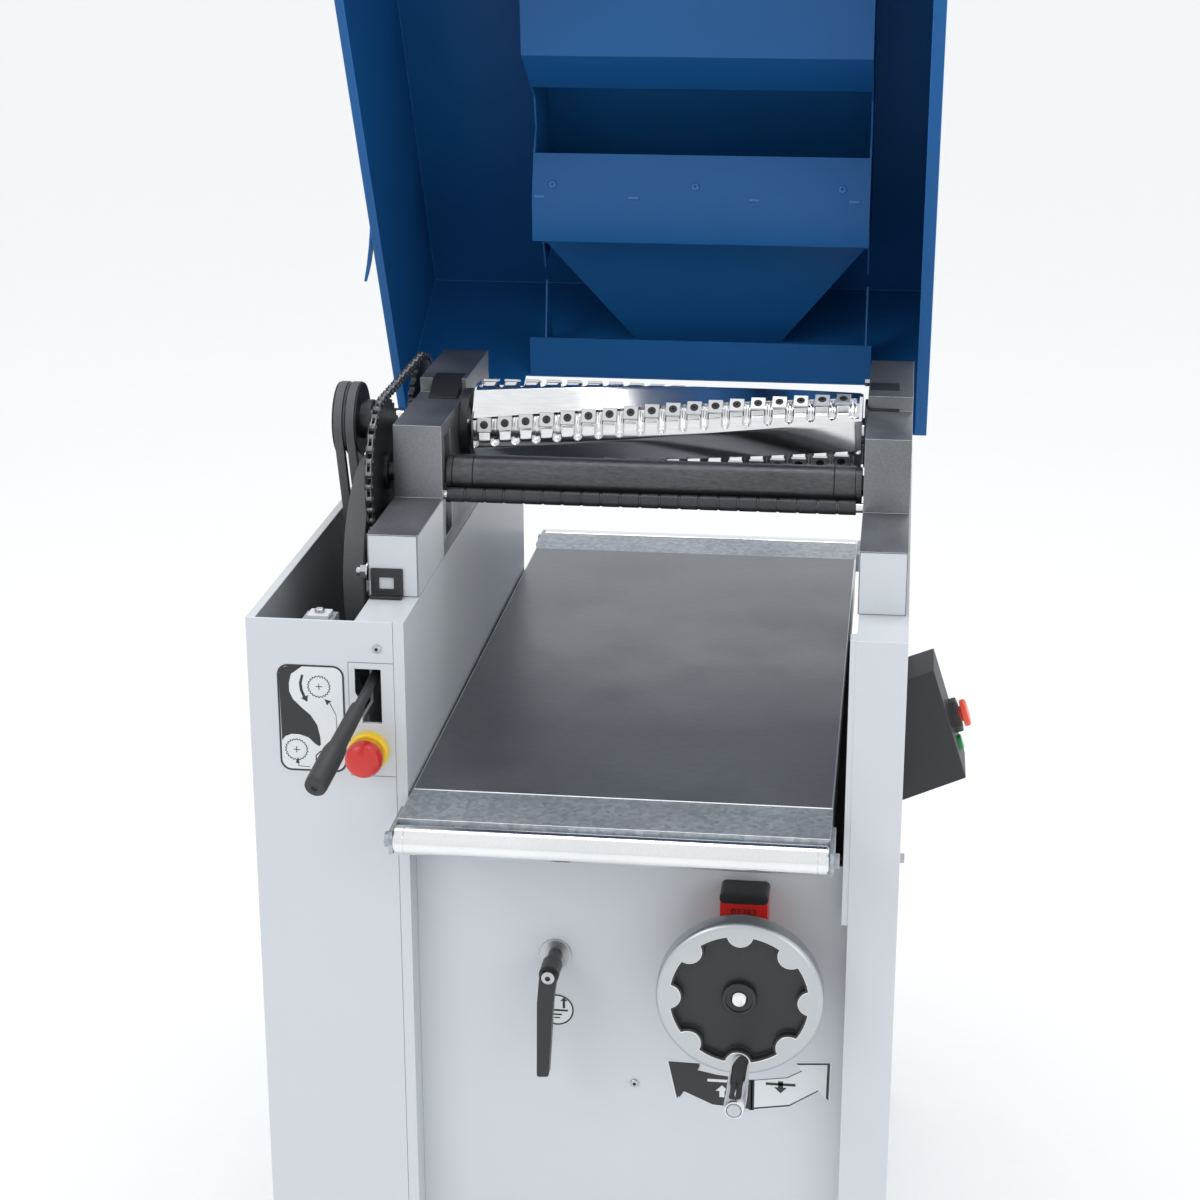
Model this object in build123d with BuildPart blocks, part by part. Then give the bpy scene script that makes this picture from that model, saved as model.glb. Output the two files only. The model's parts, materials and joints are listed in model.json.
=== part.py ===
"""Thickness planer: cabinet, side castings, spiral cutterhead, feed drive, rising table and tilting hood.

Units are millimetres. +X is to the operator's right, +Y is the feed direction (away from the operator), +Z is up.
The origin is on the floor, at the centre of the four anchor holes. The hood is modelled in its open position.
"""
from build123d import *
from math import atan2, cos, degrees, hypot, pi, radians, sin, sqrt
import os

os.makedirs("parts", exist_ok=True)

# ---- driving dimensions -------------------------------------------------------------------------
CABINET_W = 632.0
CABINET_D = 740.0
COLUMN_TOP = 880.0
COLUMN_W = 48.0
BASE_H = 60.0
SHEET = 2.0
COLUMN_WALL = 3.0
LEFT_IN = -161.5
RIGHT_IN = 268.0
PANEL_Y = -338.0
PANEL_TOP = 636.0

TABLE_W = 410.0
TABLE_X0 = -159.0
TABLE_Y0 = -360.0
TABLE_L = 809.0
TABLE_TOP = 706.0
TABLE_TRAVEL = 230.0
TABLE_DEPTH = 60.0

CUTTER_Y = -25.0
CUTTER_Z = 991.0
CUTTER_R = 44.0
CUTTER_X0 = -147.0
CUTTER_X1 = 261.0
JOURNAL_R = 12.5
INSERT = 15.0
INSERT_PITCH = 22.0
INSERTS_PER_ROW = 18
INSERT_ROWS = 4
HELIX_DEG_PER_MM = 0.1435
FIRST_INSERT_X = -132.8
FIRST_INSERT_DEG = 10.6

ROLLER_R = 19.5
ROLLER_SHAFT_R = 10.0
INFEED_Y = -125.0
OUTFEED_Y = 80.0
ROLLER_Z = 962.0

CHAIN_PITCH = 12.7
CHAIN_X0 = -233.0
CHAIN_W = 8.0
FEED_TEETH = 37
DRIVE_TEETH = 19
DRIVE_Y = -22.0
DRIVE_Z = 800.0
WHEEL_Y = -90.0
WHEEL_Z = 855.0
WHEEL_R = 109.0
WHEEL_X0 = -259.0
WHEEL_W = 22.0

MOTOR_Y = 230.0
MOTOR_Z = 300.0
PULLEY_X0 = -298.0
PULLEY_W = 26.0
CUTTER_PULLEY_R = 39.0
MOTOR_PULLEY_R = 60.0
BELT_T = 8.0

HOOD_OPEN_DEG = 62.0
HINGE_Y = 354.0
HINGE_Z = 891.0
HOOD_X0 = -309.0
HOOD_X1 = 332.0
HOOD_EDGE_Z = 882.0
HOOD_REAR_Y = 342.7
HOOD_FRONT_Y = -382.0
HOOD_H = 272.0
DUCT_X0 = -139.0
DUCT_X1 = 256.0
SPOUT_R = 60.0

LIFT_FRONT = (167.5, -150.0)
LIFT_REAR = (-75.5, 80.0)
HANDWHEEL_Z = 527.0
HANDWHEEL_R = 81.0
LIFT_R = 12.0
FIT = 0.05
GAP = 0.3


# ---- shared shapes ------------------------------------------------------------------------------
def block(x0, x1, y0, y1, z0, z1, mode=Mode.ADD):
    """A box between two corners."""
    with Locations(((x0 + x1) / 2, (y0 + y1) / 2, (z0 + z1) / 2)):
        Box(abs(x1 - x0), abs(y1 - y0), abs(z1 - z0), mode=mode)


def along_x(x0, x1, y, z, radius, mode=Mode.ADD):
    """A cylinder from x0 to x1."""
    with Locations(Plane(origin=(x0, y, z), x_dir=(0, 1, 0), z_dir=(1, 0, 0))):
        Cylinder(radius, x1 - x0, align=(Align.CENTER, Align.CENTER, Align.MIN), mode=mode)


def along_y(x, y0, y1, z, radius, mode=Mode.ADD):
    """A cylinder from y0 to y1."""
    with Locations(Plane(origin=(x, y1, z), x_dir=(1, 0, 0), z_dir=(0, -1, 0))):
        Cylinder(radius, y1 - y0, align=(Align.CENTER, Align.CENTER, Align.MIN), mode=mode)


def along_z(x, y, z0, z1, radius, mode=Mode.ADD):
    """A cylinder from z0 to z1."""
    with Locations((x, y, z0)):
        Cylinder(radius, z1 - z0, align=(Align.CENTER, Align.CENTER, Align.MIN), mode=mode)


def side_plane(x):
    """A plane at x whose axes are Y and Z."""
    return Plane(origin=(x, 0, 0), x_dir=(0, 1, 0), z_dir=(1, 0, 0))


def prism(plane, corners, amount, mode=Mode.ADD):
    """A straight prism from the given corners in a plane."""
    with BuildSketch(plane) as profile:
        with BuildLine():
            Polyline(*corners, close=True)
        make_face()
    extrude(profile.sketch, amount=amount, mode=mode)


def finish(piece, name):
    """Label a finished piece and write its STEP file."""
    piece.part.label = name
    export_step(piece.part, f"parts/{name}.step")


def loop_path(circles):
    """Outline of a belt or chain pulled round circles given as (y, z, r) in clockwise order seen from +X."""
    count = len(circles)
    touches = []
    for i in range(count):
        y0, z0, r0 = circles[i]
        y1, z1, r1 = circles[(i + 1) % count]
        dy, dz = y1 - y0, z1 - z0
        span = hypot(dy, dz)
        lean = (r0 - r1) / span
        root = sqrt(1 - lean * lean)
        ny = (dy * lean - dz * root) / span
        nz = (dz * lean + dy * root) / span
        touches.append(((y0 + r0 * ny, z0 + r0 * nz), (y1 + r1 * ny, z1 + r1 * nz)))
    for i in range(count):
        Line(touches[i][0], touches[i][1])
        y, z, r = circles[(i + 1) % count]
        start = touches[i][1]
        end = touches[(i + 1) % count][0]
        a0 = atan2(start[1] - z, start[0] - y)
        a1 = atan2(end[1] - z, end[0] - y)
        while a1 > a0:
            a1 -= 2 * pi
        mid = (a0 + a1) / 2
        ThreePointArc(start, (y + r * cos(mid), z + r * sin(mid)), end)


def band(x0, width, circles, inner, outer):
    """A closed band round circles: inner and outer are added to each radius."""
    with BuildSketch(side_plane(x0)) as ring:
        with BuildLine():
            loop_path([(y, z, r + outer) for y, z, r in circles])
        make_face()
        with BuildLine():
            loop_path([(y, z, r + inner) for y, z, r in circles])
        make_face(mode=Mode.SUBTRACT)
    extrude(ring.sketch, amount=width)


def pitch_radius(teeth):
    """Pitch radius of a roller-chain sprocket."""
    return CHAIN_PITCH / (2 * sin(pi / teeth))


# ---- cabinet ------------------------------------------------------------------------------------
half_w = CABINET_W / 2
half_d = CABINET_D / 2
ANCHOR_X = 582.0
ANCHOR_Y = 690.0
ANCHOR_R = 7.0
frame_w = 50.0
frame_t = 5.0

with BuildPart() as base_frame:
    block(-half_w, half_w, -half_d, half_d, 0, BASE_H)
    block(-half_w + frame_w, half_w - frame_w, -half_d + frame_w, half_d - frame_w, 0, BASE_H, Mode.SUBTRACT)
    block(-half_w + frame_t, half_w - frame_t, -half_d + frame_t, half_d - frame_t,
          frame_t, BASE_H - frame_t, Mode.SUBTRACT)
    with GridLocations(ANCHOR_X, ANCHOR_Y, 2, 2):
        Cylinder(ANCHOR_R, frame_t, align=(Align.CENTER, Align.CENTER, Align.MIN), mode=Mode.SUBTRACT)
        with Locations((0, 0, BASE_H - frame_t)):
            Cylinder(2 * ANCHOR_R, frame_t, align=(Align.CENTER, Align.CENTER, Align.MIN), mode=Mode.SUBTRACT)
finish(base_frame, "base_frame")

left_out = LEFT_IN - COLUMN_W
right_out = RIGHT_IN + COLUMN_W
front_skin = -half_d + SHEET
SLOT = (-210.5, -185.0, 776.0, 831.7)
STOP_X = -198.6
STOP_Z = 748.4
STOP_HOLE_R = 11.0
SEAM_X = -172.0
shaft_clear = 14.0


def hollow_column(x0, x1, y0, y1, z0, z1):
    """A closed sheet-metal box open at its foot."""
    block(x0, x1, y0, y1, z0, z1)
    block(x0 + COLUMN_WALL, x1 - COLUMN_WALL, y0 + COLUMN_WALL, y1 - COLUMN_WALL,
          z0, z1 - COLUMN_WALL, Mode.SUBTRACT)


with BuildPart() as left_column:
    hollow_column(left_out, LEFT_IN, front_skin, half_d, BASE_H, COLUMN_TOP)
    block(SEAM_X, LEFT_IN, -half_d, front_skin, BASE_H, COLUMN_TOP)
    block(SLOT[0] + 1, SLOT[1], -half_d, front_skin + COLUMN_WALL, SLOT[2], SLOT[3], Mode.SUBTRACT)
    block(left_out, left_out + COLUMN_WALL, -half_d, -310, SLOT[2], SLOT[3], Mode.SUBTRACT)
    along_y(STOP_X, -half_d, front_skin + COLUMN_WALL, STOP_Z, STOP_HOLE_R, Mode.SUBTRACT)
    block(left_out, left_out + COLUMN_WALL, -367, -330, STOP_Z - 22, STOP_Z + 22, Mode.SUBTRACT)
    for hole_y, hole_z in ((WHEEL_Y, WHEEL_Z), (DRIVE_Y, DRIVE_Z)):
        along_x(left_out, left_out + COLUMN_WALL, hole_y, hole_z, shaft_clear, Mode.SUBTRACT)
    along_x(left_out, LEFT_IN, MOTOR_Y, MOTOR_Z, shaft_clear + 4, Mode.SUBTRACT)
finish(left_column, "left_column")

with BuildPart() as left_front_cover:
    block(-half_w, SEAM_X - 0.5, -half_d, front_skin, BASE_H + 2, COLUMN_TOP)
    block(SLOT[0], SLOT[1], -half_d, front_skin, SLOT[2], SLOT[3], Mode.SUBTRACT)
    along_y(STOP_X, -half_d, front_skin, STOP_Z, STOP_HOLE_R, Mode.SUBTRACT)
finish(left_front_cover, "left_front_cover")

with BuildPart() as belt_guard:
    block(-half_w, left_out, front_skin, half_d, BASE_H + 2, COLUMN_TOP)
    block(-half_w + SHEET, left_out, front_skin, half_d - SHEET, BASE_H + 2, COLUMN_TOP - SHEET, Mode.SUBTRACT)
    block(-half_w + 9, left_out, front_skin, half_d - SHEET, COLUMN_TOP - SHEET, COLUMN_TOP, Mode.SUBTRACT)
finish(belt_guard, "belt_guard")

with BuildPart() as right_column:
    hollow_column(RIGHT_IN, right_out, -half_d, half_d, BASE_H, COLUMN_TOP)
    block(RIGHT_IN - 6, RIGHT_IN, -half_d + 1, -half_d + 21, 588, COLUMN_TOP)
finish(right_column, "right_column")

with BuildPart() as front_panel:
    block(LEFT_IN, RIGHT_IN, PANEL_Y, PANEL_Y + SHEET, BASE_H, PANEL_TOP)
    along_y(LIFT_FRONT[0], PANEL_Y, PANEL_Y + SHEET, HANDWHEEL_Z, 12, Mode.SUBTRACT)
finish(front_panel, "front_panel")

with BuildPart() as rear_panel:
    block(LEFT_IN, RIGHT_IN, half_d - 34, half_d - 32, BASE_H, PANEL_TOP)
finish(rear_panel, "rear_panel")

# ---- side castings and what they hold -----------------------------------------------------------
STEP_Y0 = -291.0
STEP_Y1 = -157.0
STEP_Z = 943.0
UPPER_Z = 1019.0
RAISED_Z = 1034.0
CASTING_Y1 = 132.0
CASTINGS = ((-212.0, -162.0, -9.0), (266.5, 313.0, -37.0))
BEARING_R = 26.0
window_half = 16.0
WINDOW_Z = (925.0, 1004.0)
KICK_Y = -148.0
KICK_Z = 945.0
KICK_R = 5.0


def side_casting(x0, x1, raised_y, inner, hand):
    """One headstock casting: stepped block with a bearing bore, two block windows and a shaft hole."""
    outline = ((STEP_Y0, COLUMN_TOP), (STEP_Y0, STEP_Z), (STEP_Y1, STEP_Z), (STEP_Y1, UPPER_Z),
               (raised_y, UPPER_Z), (raised_y, RAISED_Z), (CASTING_Y1, RAISED_Z), (CASTING_Y1, COLUMN_TOP))
    prism(side_plane(x0), outline, x1 - x0)
    along_x(x0, x1, CUTTER_Y, CUTTER_Z, BEARING_R, Mode.SUBTRACT)
    for roller_y in (INFEED_Y, OUTFEED_Y):
        block(x0, x1, roller_y - window_half, roller_y + window_half, WINDOW_Z[0], WINDOW_Z[1], Mode.SUBTRACT)
    along_x(x0, x1, KICK_Y, KICK_Z, KICK_R + FIT, Mode.SUBTRACT)
    block(inner, inner + hand * 14, -106 - 36, -106, 898, WINDOW_Z[0], Mode.SUBTRACT)


with BuildPart() as left_casting:
    side_casting(*CASTINGS[0], inner=CASTINGS[0][1], hand=-1)
finish(left_casting, "left_casting")

with BuildPart() as right_casting:
    side_casting(*CASTINGS[1], inner=CASTINGS[1][0], hand=1)
finish(right_casting, "right_casting")

bearing_places = ((-190.0, -175.0), (280.0, 295.0))
with BuildPart() as cutter_bearings:
    for x0, x1 in bearing_places:
        along_x(x0, x1, CUTTER_Y, CUTTER_Z, BEARING_R)
        along_x(x0, x1, CUTTER_Y, CUTTER_Z, JOURNAL_R + FIT, Mode.SUBTRACT)
finish(cutter_bearings, "cutter_bearings")

with BuildPart() as bearing_caps:
    for x0, x1 in ((-162.0, -152.0), (263.5, 266.5)):
        along_x(x0, x1, CUTTER_Y, CUTTER_Z, 36)
        along_x(x0, x1, CUTTER_Y, CUTTER_Z, JOURNAL_R + 4, Mode.SUBTRACT)
finish(bearing_caps, "bearing_caps")

block_z0 = 940.0
block_z1 = 984.0
with BuildPart() as bearing_blocks:
    for x0, x1 in ((-205.0, -168.0), (272.0, 307.0)):
        for roller_y in (INFEED_Y, OUTFEED_Y):
            block(x0, x1, roller_y - window_half + 0.1, roller_y + window_half - 0.1, block_z0, block_z1)
            along_x(x0, x1, roller_y, ROLLER_Z, ROLLER_SHAFT_R + FIT, Mode.SUBTRACT)
finish(bearing_blocks, "bearing_blocks")

SPRING_R = 6.0
SPRING_WIRE = 1.1
SPRING_TURNS = 4
spring_z0 = WINDOW_Z[0] + SPRING_WIRE
spring_z1 = block_z0 - SPRING_WIRE
with BuildPart() as block_springs:
    for spring_x in (-186.5, 289.5):
        for roller_y in (INFEED_Y, OUTFEED_Y):
            with BuildLine(mode=Mode.PRIVATE) as coil:
                Helix(pitch=(spring_z1 - spring_z0) / SPRING_TURNS, height=spring_z1 - spring_z0,
                      radius=SPRING_R, center=(spring_x, roller_y, spring_z0))
            with BuildSketch(Plane(origin=coil.line @ 0, z_dir=coil.line % 0)):
                Circle(SPRING_WIRE)
            sweep(path=coil.line)
finish(block_springs, "block_springs")

bar_x0 = CASTINGS[0][1]
bar_x1 = CASTINGS[1][0]
with BuildPart() as chip_breaker:
    block(bar_x0, bar_x1, -101, -78, 943, 960)
    along_x(bar_x0, bar_x1, CUTTER_Y, CUTTER_Z, 50, Mode.SUBTRACT)
    chamfer(chip_breaker.edges().filter_by(Axis.X).sort_by(Axis.Z)[0], 2)
finish(chip_breaker, "chip_breaker")

with BuildPart() as pressure_bar:
    block(bar_x0, bar_x1, 26, 48, 943, 966)
    along_x(bar_x0, bar_x1, CUTTER_Y, CUTTER_Z, 50, Mode.SUBTRACT)
    chamfer(pressure_bar.edges().filter_by(Axis.X).sort_by(Axis.Z)[0:2], 2)
finish(pressure_bar, "pressure_bar")

with BuildPart() as kickback_shaft:
    along_x(CASTINGS[0][0] + 10, CASTINGS[1][1] - 10, KICK_Y, KICK_Z, KICK_R)
finish(kickback_shaft, "kickback_shaft")

FINGER_PITCH = 20.0
FINGER_W = 17.5
FINGER_COUNT = 21
FINGER_R = 7.5
finger_x0 = -158.0
with BuildPart() as kickback_fingers:
    with BuildSketch(side_plane(finger_x0)):
        with Locations((KICK_Y, KICK_Z)):
            Circle(FINGER_R)
        with BuildLine():
            Polyline((KICK_Y - 4, KICK_Z - 6), (KICK_Y + 6, KICK_Z - 7.5), (KICK_Y + 12, KICK_Z - 5.5),
                     (KICK_Y + 6, KICK_Z + 3), (KICK_Y, KICK_Z + 5), close=True)
        make_face()
        with Locations((KICK_Y, KICK_Z)):
            Circle(KICK_R + FIT, mode=Mode.SUBTRACT)
    extrude(amount=FINGER_W)
    first = kickback_fingers.part
    for i in range(1, FINGER_COUNT):
        add(Pos(i * FINGER_PITCH, 0, 0) * first)
finish(kickback_fingers, "kickback_fingers")

# ---- cutterhead ---------------------------------------------------------------------------------
with BuildPart() as cutterhead:
    along_x(CUTTER_X0, CUTTER_X1, CUTTER_Y, CUTTER_Z, CUTTER_R)
    along_x(CUTTER_X0 - 4, CUTTER_X0, CUTTER_Y, CUTTER_Z, 20)
    along_x(PULLEY_X0, CASTINGS[1][1] - 5, CUTTER_Y, CUTTER_Z, JOURNAL_R)
finish(cutterhead, "cutterhead")

insert_t = 2.5
with BuildPart() as cutter_inserts:
    for row in range(INSERT_ROWS):
        for i in range(INSERTS_PER_ROW):
            x = FIRST_INSERT_X + i * INSERT_PITCH
            turn = radians(FIRST_INSERT_DEG + 90 * row + HELIX_DEG_PER_MM * i * INSERT_PITCH)
            out = (0, -cos(turn), sin(turn))
            spot = (x, CUTTER_Y + CUTTER_R * out[1], CUTTER_Z + CUTTER_R * out[2])
            with Locations(Plane(origin=spot, x_dir=(1, 0, 0), z_dir=out)):
                Box(INSERT, INSERT, insert_t, align=(Align.CENTER, Align.CENTER, Align.MIN))
finish(cutter_inserts, "cutter_inserts")

groove_pitch = PULLEY_W / 2
with BuildPart() as cutter_pulley:
    along_x(PULLEY_X0, PULLEY_X0 + PULLEY_W, CUTTER_Y, CUTTER_Z, CUTTER_PULLEY_R)
    along_x(PULLEY_X0 + PULLEY_W, PULLEY_X0 + PULLEY_W + 12, CUTTER_Y, CUTTER_Z, 21)
    for i in range(2):
        x = PULLEY_X0 + groove_pitch * (i + 0.5)
        along_x(x - 5, x + 5, CUTTER_Y, CUTTER_Z, CUTTER_PULLEY_R + 1, Mode.SUBTRACT)
        along_x(x - 5, x + 5, CUTTER_Y, CUTTER_Z, CUTTER_PULLEY_R - BELT_T)
    along_x(PULLEY_X0, PULLEY_X0 + PULLEY_W + 12, CUTTER_Y, CUTTER_Z, JOURNAL_R, Mode.SUBTRACT)
finish(cutter_pulley, "cutter_pulley")

# ---- feed rollers and their drive ---------------------------------------------------------------
shaft_x0 = -240.0 + 5
shaft_x1 = 306.0
roller_x0 = -161.0
roller_x1 = 265.0


def feed_roller(y):
    """A feed roller with its journals."""
    along_x(roller_x0, roller_x1, y, ROLLER_Z, ROLLER_R)
    along_x(shaft_x0, shaft_x1, y, ROLLER_Z, ROLLER_SHAFT_R)


with BuildPart() as infeed_roller:
    feed_roller(INFEED_Y)
finish(infeed_roller, "infeed_roller")

with BuildPart() as outfeed_roller:
    feed_roller(OUTFEED_Y)
finish(outfeed_roller, "outfeed_roller")

feed_r = pitch_radius(FEED_TEETH)
drive_r = pitch_radius(DRIVE_TEETH)
tip_drop = 3.4
tooth_depth = 4.0


def sprocket(y, z, radius, teeth, bore):
    """A toothed plate sprocket with a hub."""
    tip = radius - tip_drop + tooth_depth
    along_x(CHAIN_X0 + 1, CHAIN_X0 + CHAIN_W - 1, y, z, tip)
    with Locations(Plane(origin=(CHAIN_X0 + 1, y, z), x_dir=(0, 1, 0), z_dir=(1, 0, 0))):
        with PolarLocations(radius, teeth):
            Cylinder(tip_drop + 0.9, CHAIN_W - 2, align=(Align.CENTER, Align.CENTER, Align.MIN),
                     mode=Mode.SUBTRACT)
    along_x(CHAIN_X0 - 1, CHAIN_X0 + CHAIN_W + 3, y, z, bore + 9)
    along_x(CHAIN_X0 - 1, CHAIN_X0 + CHAIN_W + 3, y, z, bore, Mode.SUBTRACT)


with BuildPart() as infeed_sprocket:
    sprocket(INFEED_Y, ROLLER_Z, feed_r, FEED_TEETH, ROLLER_SHAFT_R)
finish(infeed_sprocket, "infeed_sprocket")

with BuildPart() as outfeed_sprocket:
    sprocket(OUTFEED_Y, ROLLER_Z, feed_r, FEED_TEETH, ROLLER_SHAFT_R)
finish(outfeed_sprocket, "outfeed_sprocket")

with BuildPart() as drive_sprocket:
    sprocket(DRIVE_Y, DRIVE_Z, drive_r, DRIVE_TEETH, 9)
    along_x(CHAIN_X0, left_out + 20, DRIVE_Y, DRIVE_Z, 9)
finish(drive_sprocket, "drive_sprocket")

feed_loop = ((INFEED_Y, ROLLER_Z, feed_r), (OUTFEED_Y, ROLLER_Z, feed_r), (DRIVE_Y, DRIVE_Z, drive_r))
chain_in = tooth_depth - tip_drop + GAP
wheel_shaft_r = 10.0
with BuildPart() as feed_wheel:
    along_x(WHEEL_X0, WHEEL_X0 + WHEEL_W, WHEEL_Y, WHEEL_Z, WHEEL_R)
    along_x(WHEEL_X0, WHEEL_X0 + 8, WHEEL_Y, WHEEL_Z, WHEEL_R - 10, Mode.SUBTRACT)
    along_x(WHEEL_X0 + 14, WHEEL_X0 + WHEEL_W, WHEEL_Y, WHEEL_Z, WHEEL_R - 10, Mode.SUBTRACT)
    along_x(WHEEL_X0, WHEEL_X0 + WHEEL_W, WHEEL_Y, WHEEL_Z, 22)
    along_x(WHEEL_X0 + WHEEL_W, left_out + 20, WHEEL_Y, WHEEL_Z, wheel_shaft_r)
    with Locations(Plane(origin=(WHEEL_X0, WHEEL_Y, WHEEL_Z), x_dir=(0, 1, 0), z_dir=(1, 0, 0))):
        with PolarLocations(62, 6):
            Cylinder(19, WHEEL_W, align=(Align.CENTER, Align.CENTER, Align.MIN), mode=Mode.SUBTRACT)
finish(feed_wheel, "feed_wheel")

motor_feed_r = 30.0
with BuildPart() as drive_belts:
    for i in range(2):
        x = PULLEY_X0 + groove_pitch * (i + 0.5)
        v_loop = ((CUTTER_Y, CUTTER_Z, CUTTER_PULLEY_R), (MOTOR_Y, MOTOR_Z, MOTOR_PULLEY_R))
        band(x - 4.6, 9.2, v_loop, -BELT_T + GAP, 0.8)
    flat_loop = ((WHEEL_Y, WHEEL_Z, WHEEL_R), (MOTOR_Y, MOTOR_Z, motor_feed_r))
    band(WHEEL_X0 + 0.5, WHEEL_W - 1, flat_loop, GAP, 3.3)
finish(drive_belts, "drive_belts")

gear_x0 = left_out + COLUMN_WALL
gear_x1 = LEFT_IN - COLUMN_WALL
with BuildPart() as feed_gearbox:
    block(gear_x0, gear_x1, -142, 22, 764, 876)
    fillet(feed_gearbox.edges().filter_by(Axis.X), 8)
    for hole_y, hole_z, hole_r in ((WHEEL_Y, WHEEL_Z, wheel_shaft_r), (DRIVE_Y, DRIVE_Z, 9.0)):
        along_x(gear_x0, left_out + 20.3, hole_y, hole_z, hole_r + FIT, Mode.SUBTRACT)
finish(feed_gearbox, "feed_gearbox")

# ---- main motor ---------------------------------------------------------------------------------
MOTOR_R = 92.0
MOTOR_X0 = -150.0
MOTOR_X1 = 110.0
motor_shaft_r = 14.0
with BuildPart() as main_motor:
    along_x(MOTOR_X0 + 12, MOTOR_X1 - 50, MOTOR_Y, MOTOR_Z, MOTOR_R - 6)
    along_x(MOTOR_X0, MOTOR_X0 + 12, MOTOR_Y, MOTOR_Z, MOTOR_R)
    along_x(MOTOR_X1 - 50, MOTOR_X1, MOTOR_Y, MOTOR_Z, MOTOR_R)
    for i in range(24):
        turn = radians(i * 15)
        with Locations(Plane(origin=(MOTOR_X0 + 12, MOTOR_Y, MOTOR_Z), x_dir=(0, cos(turn), sin(turn)),
                             z_dir=(1, 0, 0))):
            with Locations((MOTOR_R - 4, 0, 0)):
                Box(8, 2.5, MOTOR_X1 - MOTOR_X0 - 62, align=(Align.CENTER, Align.CENTER, Align.MIN))
    block(MOTOR_X0 + 40, MOTOR_X0 + 150, MOTOR_Y - 45, MOTOR_Y + 45, MOTOR_Z + 84, MOTOR_Z + 124)
    along_x(MOTOR_X0, MOTOR_X0 + 40, MOTOR_Y, MOTOR_Z, motor_shaft_r + FIT, Mode.SUBTRACT)
finish(main_motor, "main_motor")

with BuildPart() as motor_pulley:
    along_x(PULLEY_X0, PULLEY_X0 + PULLEY_W, MOTOR_Y, MOTOR_Z, MOTOR_PULLEY_R)
    for i in range(2):
        x = PULLEY_X0 + groove_pitch * (i + 0.5)
        along_x(x - 5, x + 5, MOTOR_Y, MOTOR_Z, MOTOR_PULLEY_R + 1, Mode.SUBTRACT)
        along_x(x - 5, x + 5, MOTOR_Y, MOTOR_Z, MOTOR_PULLEY_R - BELT_T)
    along_x(PULLEY_X0 + PULLEY_W, WHEEL_X0 + WHEEL_W, MOTOR_Y, MOTOR_Z, motor_feed_r)
    along_x(PULLEY_X0 + PULLEY_W, MOTOR_X0 + 38, MOTOR_Y, MOTOR_Z, motor_shaft_r)
finish(motor_pulley, "motor_pulley")

beam_z0 = HANDWHEEL_Z - 96
beam_t = 12.0
with BuildPart() as cross_members:
    for x, y in (LIFT_FRONT, LIFT_REAR):
        block(LEFT_IN, RIGHT_IN, y - 35, y + 35, beam_z0, beam_z0 + beam_t)
        along_z(x, y, beam_z0, beam_z0 + beam_t, 22 + FIT, Mode.SUBTRACT)
    block(LEFT_IN, MOTOR_X0, MOTOR_Y - 100, MOTOR_Y + 100, MOTOR_Z - 120, MOTOR_Z + 110)
    along_x(LEFT_IN, MOTOR_X0, MOTOR_Y, MOTOR_Z, 30, Mode.SUBTRACT)
finish(cross_members, "cross_members")

# ---- table --------------------------------------------------------------------------------------
table_x1 = TABLE_X0 + TABLE_W
table_y1 = TABLE_Y0 + TABLE_L
plate_t = 14.0
skirt = 12.0
with BuildPart() as table:
    block(TABLE_X0, table_x1, TABLE_Y0, table_y1, TABLE_TOP - TABLE_DEPTH, TABLE_TOP)
    block(TABLE_X0 + skirt, table_x1 - skirt, TABLE_Y0 + skirt, table_y1 - skirt,
          TABLE_TOP - TABLE_DEPTH, TABLE_TOP - plate_t, Mode.SUBTRACT)
    for i in range(1, 5):
        y = TABLE_Y0 + i * TABLE_L / 5
        block(TABLE_X0 + skirt, table_x1 - skirt, y - 5, y + 5, TABLE_TOP - TABLE_DEPTH + 8, TABLE_TOP - plate_t)
    for x, y in (LIFT_FRONT, LIFT_REAR):
        along_z(x, y, TABLE_TOP - TABLE_DEPTH - 6, TABLE_TOP - plate_t, 30)
    chamfer(table.edges().group_by(Axis.Z)[-1], 1.0)
finish(table, "table")

plate_top = TABLE_TOP - 0.5
front_plate_y = (-432.0, TABLE_Y0)
rear_plate_y = (table_y1, table_y1 + 69)
with BuildPart() as table_plates:
    for y0, y1, outer in ((*front_plate_y, -432.0), (*rear_plate_y, table_y1 + 66)):
        block(TABLE_X0, table_x1, y0, y1, plate_top - 3, plate_top)
        block(TABLE_X0, table_x1, outer, outer + 3, plate_top - 30, plate_top)
        for x in (TABLE_X0, table_x1 - 3):
            block(x, x + 3, y0, y1, plate_top - 30, plate_top)
finish(table_plates, "table_plates")

ROLL_R = 14.0
ROLL_Z = TABLE_TOP - 15.0
roll_front_y = -448.5
roll_rear_y = table_y1 + 69 + 16.5
roll_pin_r = 5.0
ROLL_X = (TABLE_X0 + 0.5, table_x1 - 0.5)


def support_roller(y):
    """A free-turning bored roller tube with closed ends."""
    along_x(ROLL_X[0], ROLL_X[1], y, ROLL_Z, ROLL_R)
    along_x(ROLL_X[0], ROLL_X[1], y, ROLL_Z, roll_pin_r + FIT, Mode.SUBTRACT)


with BuildPart() as front_roller:
    support_roller(roll_front_y)
finish(front_roller, "front_roller")

with BuildPart() as rear_roller:
    support_roller(roll_rear_y)
finish(rear_roller, "rear_roller")

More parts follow.
